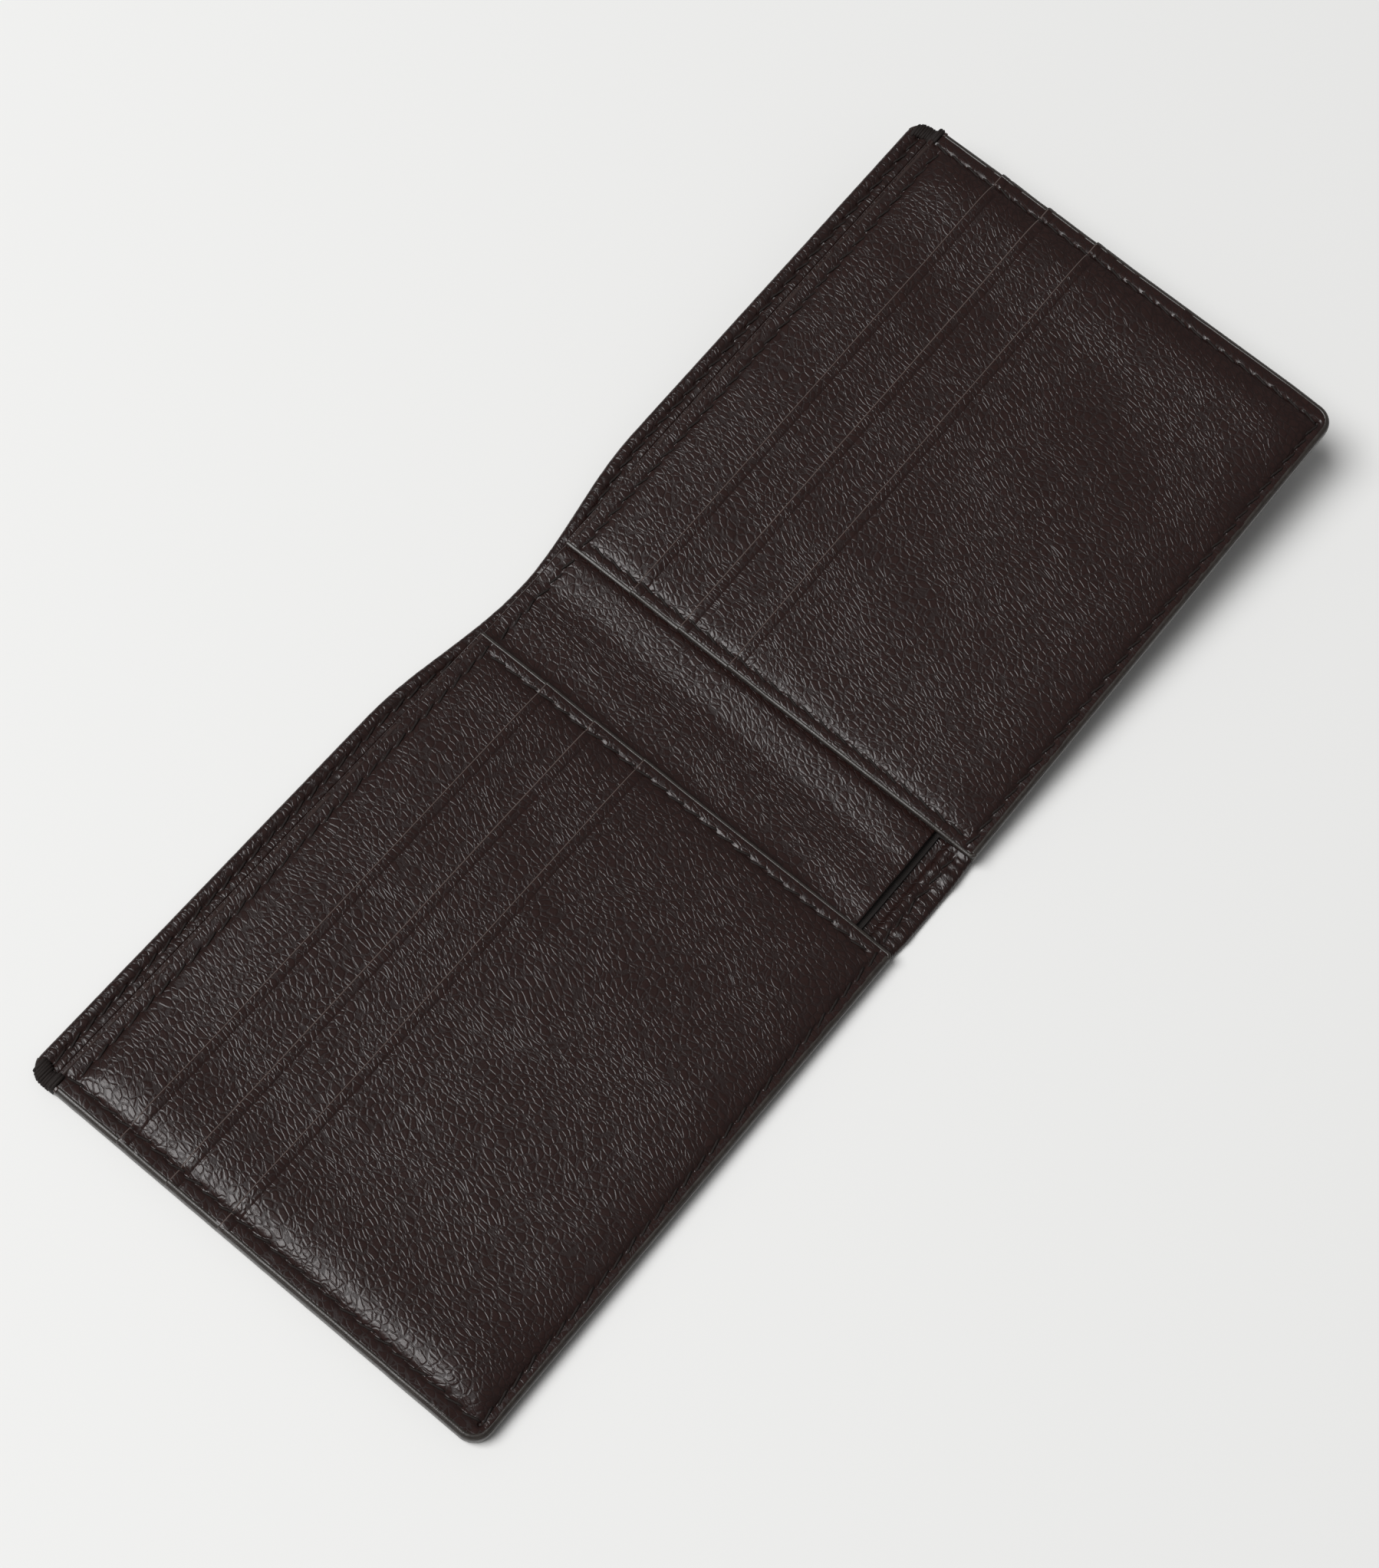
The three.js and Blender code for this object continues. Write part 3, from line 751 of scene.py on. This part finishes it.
def cover_inside(u, y, seed, hole=HOLE):
    """The height of the cover's inner face, with its turned edges at the top and at the spine."""
    below_top = top_edge(u) - y
    above_bottom = y - bottom_edge(u)
    at_top = smoothstep((HEM - below_top) / 0.3)
    at_spine = smoothstep((HEM_BOTTOM - y) / 1.5) * smoothstep((INNER - u + 1.4) / 0.6)
    height = COVER_THICKNESS + (HEM_TOP - COVER_THICKNESS) * np.maximum(at_top, at_spine)
    top_roll = TOP_ROLL * bell(below_top - TOP_ROLL_DROP, ROLL_WIDTH) * at_top
    spine_roll = SPINE_ROLL * bell(above_bottom - SPINE_ROLL_RISE, ROLL_WIDTH) * at_spine
    gathers = hem_crinkles(u, y, seed) * np.maximum(at_top, SPINE_CRINKLE * at_spine)
    top_seam = seam_relief(u, below_top - HEM_SEAM, 0, COVER_SEAM_END, HEM_GROOVE, hole) * at_top
    spine_seam = seam_relief(u, y - SPINE_SEAM[1], *SPINE_SEAM[2:], SPINE_GROOVE, hole) * at_spine
    return height + (top_roll + spine_roll) + gathers + top_seam + spine_seam


def cover_outside(u, y, seed, hole=HOLE):
    """The height of the cover's outer face, which is drawn in at its seams."""
    below_top = top_edge(u) - y
    above_bottom = y - bottom_edge(u)
    drawn_in = 0.16 * bell(OUTER - u, 4.5) + 0.16 * bell(above_bottom, 3.5) + 0.14 * bell(below_top, 4)
    seams = -seam_relief(u, below_top - HEM_SEAM, 0, COVER_SEAM_END, SHALLOW_GROOVE, hole)
    seams -= seam_relief(y, u - OUTER_SEAM_U, *PANEL_SEAMS["outer"][2:], SHALLOW_GROOVE, hole)
    seams -= seam_relief(u, y - BOTTOM_SEAM_Y, 0, OUTER_SEAM_U, SHALLOW_GROOVE, hole)
    gathers = 0.3 * hem_crinkles(u, y, seed) * (bell(below_top, 3) + bell(above_bottom, 2.5) * bell(u, 12))
    slow = 0.04 * (1 + noise(u / 8, y / 7, seed + 4)) + 0.012 * noise(u / 2, y / 2, seed + 5)
    return np.maximum(drawn_in + seams + gathers + slow, 0.01)


def cover_depth(u, y):
    """The distance in from the cover's turned edges, and from its painted outer end."""
    turned = np.minimum(top_edge(u) - y, np.where(u < INNER, y - bottom_edge(u), TOP))
    return turned, OUTER - corner_inset(y, TOP, CORNER) - u


CUT_ROUNDING = 0.3  # the radius of the cover's painted edges


def cover_leather(side, seed):
    """Half of the cover, from the spine's middle outwards."""
    u, y = cover_grid()
    turned, end = cover_depth(u, y)
    inside = cover_inside(u, y, seed)
    outside = cover_outside(u, y, seed)
    drop = round_over(turned, HEM_TOP / 2) + round_over(np.maximum(end, 0), CUT_ROUNDING)
    drop = drop + np.where(u < INNER, 0, round_over(y - BOTTOM, CUT_ROUNDING))
    middle = (inside + outside) / 2
    top = np.maximum(inside - drop, middle + THINNEST)
    bottom = np.minimum(outside + drop, middle - THINNEST)
    made = sheet_piece(f"cover_leather_{side}", side, u, y, top, bottom, 0.35 * bell(turned, 0.5))
    nodes = [f"outer_cover_{side}", "outer_cover_spine"]
    finish_piece(made, side, OUTER_LEATHER, nodes, crosses_fold=True)


DIVIDER_RISE, RISE_X, RISE_WIDTH = 0.38, 10.5, 5.5  # where the divider's bare strip stands up
DIVIDER_DROP, DROP_X, DROP_WIDTH = 0.3, -9, 4  # and where it hangs low
FREE_LIFT, FREE_REACH = 0.7, 9  # how far its cut edge stands up, and how far from the cut
DIVIDER_UNEVEN = ((8, 14, 0.06), (2.5, 2.5, 0.012))
TOP_SEAM_SHARE = 1 - (INTERIOR_TOP - TOP_SEAM_Y) / 80


def divider_grid(inset=0.0):
    """A grid of the divider, which stops short of the bottom at the spine."""
    us = stations(0, OUTER - EDGE_INSET - inset, 0.6, (INNER, DIVIDER_CUT_END), fine=0.15)
    shares = stations(0, 1, 0.008, (TOP_SEAM_SHARE,), fine=0.002, growth=0.2)
    full = smoothstep((us - DIVIDER_CUT_END) / 0.6)
    low = inset + CUTOUT_Y - (CUTOUT_Y - BOTTOM - EDGE_INSET) * full
    high = np.full_like(us, INTERIOR_TOP - inset)
    y = low[None, :] + (high - low)[None, :] * shares[:, None]
    u = us[None, :] - corner_inset(y, INTERIOR_TOP, PANEL_CORNER) * near_outer_end(us)[None, :]
    return u, y


def divider_sag(side, u, y):
    """The divider hangs low beside the left card panel, and stands up towards the right one."""
    bare = smoothstep((INNER - u) / 1.4)
    x = -u if side == "left" else u
    free = bell(y - CUTOUT_Y, FREE_REACH)
    raised = DIVIDER_RISE * bell(x - RISE_X, RISE_WIDTH)
    lowered = DIVIDER_DROP * bell(x - DROP_X, DROP_WIDTH) * (1 - free)
    return bare * (raised - lowered) + FREE_LIFT * free * smoothstep((INNER - u) / 7)


def divider_relief(u, y, seed, hole=HOLE):
    """The divider's bare strip at the spine: slow waves, gathers at its top, and the seam."""
    bare = smoothstep((INNER - 0.5 - u) / 1.5)
    waves = uneven(u, y, DIVIDER_UNEVEN, seed)
    gathers = 0.08 * noise(u / PUCKER_WIDTH, y / 5, seed + 2) * bell(INTERIOR_TOP - y, 5)
    seam = seam_relief(u, y - DIVIDER_SEAM[1], *DIVIDER_SEAM[2:], SHALLOW_GROOVE, hole)
    return bare * (waves + gathers + seam)


def divider_leather(side, seed):
    """Half of the divider, from the spine's middle outwards."""
    u, y = divider_grid()
    cut = np.where(u < DIVIDER_CUT_END, y - CUTOUT_Y, TOP)
    drop = round_over(np.minimum(INTERIOR_TOP - y, np.maximum(cut, 0)), 0.24)
    relief = divider_relief(u, y, seed)
    sag = divider_sag(side, u, y)
    top = DIVIDER_Z[1] + sag + relief - drop
    bottom = np.minimum(DIVIDER_Z[0] + sag + np.minimum(relief, 0) * 0.5 + drop, top - THINNEST)
    # Its polish at the top edge also lightens the colour there: partly wear, partly a painted highlight.
    made = sheet_piece(f"divider_leather_{side}", side, u, y, top, bottom, bell(INTERIOR_TOP - y, 0.3))
    nodes = [f"bill_divider_{side}", "bill_divider_spine"]
    finish_piece(made, side, INNER_LEATHER, nodes, crosses_fold=True)


def cover_linings(side):
    """The linings of the banknote compartment's two faces."""
    us = stations(0, OUTER - LINING_INSET, 1.5, (INNER,), fine=0.25)
    shares = np.linspace(0, 1, 70)
    at_spine, beyond = CUTOUT_Y - 1, BOTTOM + LINING_INSET
    low = at_spine + (beyond - at_spine) * smoothstep((us - INNER) / 0.6)
    high = top_edge(us) - HEM - 0.2
    y = low[None, :] + (high - low)[None, :] * shares[:, None]
    u = np.broadcast_to(us[None, :], y.shape)
    fabric_sheet("cover_lining", side, u, y, crosses_fold=True)
    u, y = divider_grid(LINING_INSET)
    sag = np.minimum(divider_sag(side, u, y), 0)
    fabric_sheet("divider_lining", side, u, y, sag, crosses_fold=True)


# ---- rounded edges ----
BEAD_STEPS = 15
BEAD_SIDE, BEAD_TOP = 0.75, 0.6  # powers that make a bead's section squarer than round
BULGE = 0.14  # how far a bead stands out


def bead(name, side, path, outward, low, high, reach=0.9, bulge=BULGE, polish=1.0):
    """A rounded band that seals the layers along an edge, between two heights."""
    angles = np.linspace(-math.pi / 2, math.pi / 2, BEAD_STEPS)
    out = np.abs(np.cos(angles)) ** BEAD_SIDE * (reach + bulge) - reach
    up = np.sign(np.sin(angles)) * np.abs(np.sin(angles)) ** BEAD_TOP
    out = np.append(out, [-reach - 0.05, -reach - 0.05])
    up = np.append(up, [0.7, -0.7])
    middle, half = (low + high) / 2, (high - low) / 2
    uv = path[:, None, :] + outward[:, None, :] * out[None, :, None]
    z = middle[:, None] + half[:, None] * up[None, :]
    points = np.concatenate([uv, z[..., None]], -1)
    rings, sides = points.shape[:2]
    index = np.arange(rings * sides).reshape(rings, sides)
    following = np.roll(index, -1, 1)
    faces = np.stack([index[:-1], following[:-1], following[1:], index[1:]], -1).reshape(-1, 4).tolist()
    faces += [index[0][::-1].tolist(), index[-1].tolist()]
    return make_piece(name, side, points.reshape(-1, 3), faces, np.full(rings * sides, polish))


def path_normals(path):
    """Unit vectors out from a path that keeps the object on its left."""
    along = np.gradient(path, axis=0)
    along /= np.linalg.norm(along, axis=1)[:, None]
    return np.stack([along[:, 1], -along[:, 0]], -1)


def arc(centre, radius, start, end, count=14):
    turn = np.radians(np.linspace(start, end, count))
    return np.stack([centre[0] + radius * np.cos(turn), centre[1] + radius * np.sin(turn)], -1)


def straight(start, end, spacing):
    count = max(2, round(math.dist(start, end) / spacing))
    return np.linspace(start, end, count, endpoint=False)


def rim_height(y, seed):
    """The top of the pressed rim outside the seams, which steps at each slot edge."""
    return panel_top(y) + 0.02 + 0.03 * noise(y / 3, 0, seed)


def outer_edge(side, seed):
    """The painted edge along the bottom and the outer end."""
    path = np.concatenate([
        straight((INNER + 0.1, BOTTOM), (INNER + 2, BOTTOM), 0.1),
        straight((INNER + 2, BOTTOM), (OUTER - CORNER, BOTTOM), 0.7),
        arc((OUTER - CORNER, BOTTOM + CORNER), CORNER, -90, 0),
        straight((OUTER, BOTTOM + CORNER + 0.1), (OUTER, TOP - CORNER), 0.15),
        arc((OUTER - CORNER, TOP - CORNER), CORNER, 0, 75),
    ])
    outward = path_normals(path)
    y = path[:, 1]
    over_cover = smoothstep((y - INTERIOR_TOP + PANEL_CORNER) / 1.0)
    over_cover = np.maximum(over_cover, smoothstep((INNER + INNER_CORNER - path[:, 0]) / INNER_CORNER))
    high = rim_height(y, seed) * (1 - over_cover) + (HEM_TOP + 0.05) * over_cover
    low = 0.12 + 0.02 * noise(path[:, 0] / 4, y / 4, seed + 1)
    wave = 0.03 * noise(path[:, 0] / 2.5, y / 2.5, seed + 2)
    made = bead(f"painted_edge_{side}", side, path + outward * wave[:, None], outward, low, high)
    finish_piece(made, side, PAINT, [])


def inner_edge(side, seed):
    """The painted edge of the card panel on the spine side."""
    centre = (INNER + INNER_CORNER, BOTTOM + INNER_CORNER)
    path = np.concatenate([
        straight((INNER, INTERIOR_TOP - 0.1), (INNER, BOTTOM + INNER_CORNER), 0.15),
        arc(centre, INNER_CORNER, 180, 268),
    ])
    outward = path_normals(path)
    y = path[:, 1]
    high = rim_height(y, seed) + 0.04
    low = np.full_like(high, CARD_BASE_Z[0] - 0.02)
    made = bead(f"panel_edge_{side}", side, path, outward, low, high, reach=0.5)
    finish_piece(made, side, PAINT, [])


def upper_edge(side, seed):
    """The card panel's turned top edge, rolled down over the divider."""
    corner = (OUTER - PANEL_CORNER, INTERIOR_TOP - PANEL_CORNER)
    path = np.concatenate([
        arc(corner, PANEL_CORNER, 0, 90),
        straight((OUTER - PANEL_CORNER - 0.2, INTERIOR_TOP), (INNER - 0.1, INTERIOR_TOP), 0.4),
    ])
    outward = path_normals(path)
    high = STRIP_Z[1] + 0.03 + 0.05 * noise(path[:, 0] / 1.1, 0, seed)
    low = np.full_like(high, DIVIDER_Z[0] - 0.05)
    # Its polish gives the edge a slightly lighter colour: partly wear, partly a painted highlight.
    made = bead(f"turned_top_{side}", side, path, outward, low, high, reach=0.8, bulge=0.2, polish=0.86)
    finish_piece(made, side, INNER_LEATHER, [])


# ---- thread ----
THREAD_RADIUS = 0.23
RING = 8  # points round a thread
PLY_DEPTH = 0.17  # the twist's grooves, as a share of the radius
TAPER = 0.55  # the radius at a stitch's ends, as a share
STITCH_STEPS, STITCH_TURNS = 11, 3
STITCH_SLANT = 0.38  # how far each end leans off the seam's line
STITCH_INSET = 0.12  # from a needle hole's middle
STITCH_SINK, STITCH_ARCH = -0.32, 0.36


def tube(path, across, radius, turns):
    """A twisted two-ply thread along a path. across is square to the path's plane."""
    tangent = np.gradient(path, axis=0)
    normal = np.cross(across, tangent)
    normal /= np.linalg.norm(normal, axis=1)[:, None]
    share = np.linspace(0, 1, len(path))
    taper = TAPER + (1 - TAPER) * smoothstep(np.minimum(share, 1 - share) * 6)
    angle = np.arange(RING) * math.tau / RING
    ply = 1 + PLY_DEPTH * np.cos(2 * angle[None, :] - math.tau * turns * share[:, None])
    size = (radius * taper[:, None] * ply)[..., None]
    ring = np.cos(angle)[None, :, None] * across + np.sin(angle)[None, :, None] * normal[:, None, :]
    points = (path[:, None, :] + ring * size).reshape(-1, 3)
    index = np.arange(len(path) * RING).reshape(len(path), RING)
    following = np.roll(index, -1, 1)
    faces = np.stack([index[:-1], index[1:], following[1:], following[:-1]], -1).reshape(-1, 4).tolist()
    return points, faces + [index[0].tolist(), index[-1][::-1].tolist()]


def one_stitch(start, end, surface, rng, outward):
    """A stitch from one hole to the next, slanted across the seam and sunk at both ends."""
    along = (end - start) / np.linalg.norm(end - start)
    across = np.array([-along[1], along[0]])
    lean = STITCH_SLANT * (1 + 0.25 * rng.uniform(-1, 1))
    first = start + across * lean + along * STITCH_INSET
    last = end - across * lean - along * STITCH_INSET
    share = np.linspace(0, 1, STITCH_STEPS)
    flat = first + (last - first) * share[:, None]
    z = surface(flat[:, 0], flat[:, 1])
    z = np.convolve(np.pad(z, 1, mode="edge"), [0.25, 0.5, 0.25], mode="valid")
    arch = 1 - (2 * share - 1) ** 4
    z = z + outward * (STITCH_SINK + (STITCH_ARCH + 0.05 * rng.uniform(-1, 1)) * arch)
    direction = (last - first) / np.linalg.norm(last - first)
    sideways = np.array([-direction[1], direction[0], 0.0])
    return tube(np.column_stack([flat, z]), sideways, THREAD_RADIUS, STITCH_TURNS)


def gather(parts):
    """Joins several (points, faces) into one."""
    points, faces, count = [], [], 0
    for part_points, part_faces in parts:
        points.append(part_points)
        faces += [[index + count for index in face] for face in part_faces]
        count += len(part_points)
    return np.concatenate(points), faces


def seam_thread(name, side, rows, seed, nodes, crosses_fold=False):
    """The thread of one or more rows of stitches. A row is its holes, its surface and its outward sign."""
    rng = np.random.default_rng(seed)
    parts = [
        one_stitch(start, end, surface, rng, outward)
        for holes, surface, outward in rows
        for start, end in zip(holes[:-1], holes[1:])
    ]
    made = make_piece(f"{name}_{side}", side, *gather(parts))
    finish_piece(made, side, THREAD, nodes, crosses_fold)


def row_of_holes(axis, across, start, end):
    along = seam_holes(start, end)
    fixed = np.full_like(along, across)
    return np.stack([fixed, along] if axis == "y" else [along, fixed], -1)


def panel_threads(side, seed):
    """The stitches of a card panel's four seams."""
    def surface(u, y):
        return panel_surface(u, y, seed)

    rows = {name: (row_of_holes(*seam), surface, 1) for name, seam in PANEL_SEAMS.items()}
    seam_thread("seam_outer", side, [rows["outer"], rows["bottom"]], seed + 1, [f"thread_outer_{side}"])
    seam_thread("seam_inner", side, [rows["inner"]], seed + 2, [f"thread_inner_{side}"])
    seam_thread("seam_top", side, [rows["top"]], seed + 3, [f"thread_top_{side}"])


OUTSIDE_SINK = 0.16  # how much deeper stitches lie in the cover's outside


def cover_threads(side, seed):
    """The stitches of the cover's turned edges, and the seams' stitches on the outside."""
    def inside(u, y):
        return cover_inside(u, y, seed, hole=0)

    def outside(u, y):
        return cover_outside(u, y, seed, hole=0) + OUTSIDE_SINK

    def divider(u, y):
        return DIVIDER_Z[1] + divider_sag(side, u, y) + divider_relief(u, y, seed, hole=0)

    hem = seam_holes(0, COVER_SEAM_END)
    hem = np.stack([hem, top_edge(hem) - HEM_SEAM], -1)
    bottom = row_of_holes("u", BOTTOM_SEAM_Y, 0, OUTER_SEAM_U)
    outer = row_of_holes(*PANEL_SEAMS["outer"])
    cover_nodes = [f"thread_cover_{side}", "thread_cover_spine"]
    seams = (
        ("seam_cover", [(hem, inside, 1), (hem, outside, -1)], cover_nodes),
        ("seam_spine_bottom", [(row_of_holes(*SPINE_SEAM), inside, 1)], ["thread_bottom_spine"]),
        ("seam_divider", [(row_of_holes(*DIVIDER_SEAM), divider, 1)], ["thread_top_spine"]),
        ("seam_outside", [(bottom, outside, -1), (outer, outside, -1)], []),
    )
    for number, (name, rows, nodes) in enumerate(seams):
        seam_thread(name, side, rows, seed + 10 + number, nodes, crosses_fold=True)


WRAP_SPACING, WRAP_RADIUS, WRAP_LENGTH = 0.46, 0.42, 2.6


def wrap_profile(start, end, level):
    """The u and z of a wrap, from the panel's top over the outer end to the cover's underside."""
    over = [(start, level - 0.5), (start + 0.25, level - 0.1), (start + 0.7, level)]
    down = [(end - 1.0, level + 0.05), (end - 0.3, level - 0.1), (end + 0.08, level - 0.4)]
    under = [(end + 0.18, level * 0.55), (end + 0.08, 0.6), (end - 0.3, 0.5), (end - 1.0, 0.5)]
    return over + down + under


def bar_tack(side, seed):
    """Close wraps of thread over the cover's outer top corner and the card panel's."""
    rng = np.random.default_rng(seed)
    parts = []
    for y in np.arange(INTERIOR_TOP - 0.8, TOP - 1.1, WRAP_SPACING):
        level = STRIP_Z[1] if y < INTERIOR_TOP else HEM_TOP
        level = level + 0.1 + 0.12 * rng.uniform(-1, 1)
        end = OUTER - 0.2 - round_over(TOP - y, CORNER)
        start = end - WRAP_LENGTH + 0.25 * rng.uniform(-1, 1)
        profile = wrap_profile(start, end, level)
        lean = np.linspace(0, 0.2 * rng.uniform(-1, 1), len(profile))
        path = np.array([(u, y + shift, z) for (u, z), shift in zip(profile, lean)])
        parts.append(tube(path, np.array([0.0, 1.0, 0.0]), WRAP_RADIUS, turns=1))
    made = make_piece(f"corner_tack_{side}", side, *gather(parts))
    finish_piece(made, side, THREAD, [f"bar_tack_{side}"])


# ---- the assembly ----
SIDE_SEEDS = {"left": 100, "right": 500}
COVER_SEED = 40  # shared, so that the cover's two halves meet at the spine
for side, side_seed in SIDE_SEEDS.items():
    cover_leather(side, COVER_SEED)
    cover_linings(side)
    divider_leather(side, COVER_SEED)
    panel_linings(side, side_seed)
    for leather_name in PANEL_LEATHER:
        panel_leather(side, leather_name, side_seed)
    outer_edge(side, side_seed + 20)
    inner_edge(side, side_seed + 30)
    upper_edge(side, side_seed + 40)
    panel_threads(side, side_seed)
    cover_threads(side, COVER_SEED)
    bar_tack(side, side_seed + 60)
    stiffener = frame["nodes"][f"cover_stiffener_{side}"]
    stiffener.data.materials.clear()
    stiffener.data.materials.append(BOARD)


# ---- floor, lights and camera ----
FLOOR_METRES = 6


def plain_floor():
    """A matt, nearly white floor."""
    bpy.ops.mesh.primitive_plane_add(size=FLOOR_METRES)
    floor = bpy.context.object
    floor.name = "floor"
    n = Nodes("floor_paper")
    n.shader.inputs["Base Color"].default_value = (0.86, 0.86, 0.85, 1)
    n.shader.inputs["Roughness"].default_value = 0.9
    floor.data.materials.append(n.material)


KEY_LOCATION = Vector((-1.05, 1.05, 2.6))
KEY_METRES = 1.7
KEY_WATTS = 90
WORLD_STRENGTH = 0.18


def key_light():
    """A large soft light over the banknote opening's side."""
    light = bpy.data.lights.new("key", "AREA")
    light.shape = "RECTANGLE"
    light.size = KEY_METRES
    light.size_y = KEY_METRES
    light.energy = KEY_WATTS
    lamp = bpy.data.objects.new("key", light)
    lamp.location = KEY_LOCATION
    lamp.rotation_euler = KEY_LOCATION.to_track_quat("Z", "Y").to_euler()
    bpy.context.scene.collection.objects.link(lamp)


def studio_light():
    """An even white room, and the key light."""
    world = bpy.data.worlds.new("studio")
    bpy.context.scene.world = world
    world.use_nodes = True
    background = world.node_tree.nodes["Background"]
    background.inputs["Color"].default_value = (1, 1, 1, 1)
    background.inputs["Strength"].default_value = WORLD_STRENGTH
    key_light()
    bpy.context.scene.view_settings.view_transform = "Standard"


AZIMUTH, ELEVATION, ROLL = (math.radians(angle) for angle in (-64.44, 66.81, 14.49))
TARGET = Vector((MIDDLE_X * MM - 0.00842, -0.00173, 0.0))
DISTANCE = 0.524
LENS, SENSOR = 70.3, 36.0


def photo_camera():
    """The camera, turned about its target and then rolled."""
    level_share, height = math.cos(ELEVATION), math.sin(ELEVATION)
    back = Vector((math.sin(AZIMUTH) * level_share, -math.cos(AZIMUTH) * level_share, height))
    level = Vector((math.cos(AZIMUTH), math.sin(AZIMUTH), 0))
    right = level * math.cos(ROLL) + back.cross(level) * math.sin(ROLL)
    turn = Matrix((right, back.cross(right), back)).transposed().to_4x4()
    camera = bpy.data.objects.new("camera", bpy.data.cameras.new("camera"))
    camera.data.lens = LENS
    camera.data.sensor_width = SENSOR
    camera.data.clip_start = 0.01
    camera.matrix_world = Matrix.Translation(TARGET + back * DISTANCE) @ turn
    bpy.context.scene.collection.objects.link(camera)
    bpy.context.scene.camera = camera


plain_floor()
studio_light()
photo_camera()
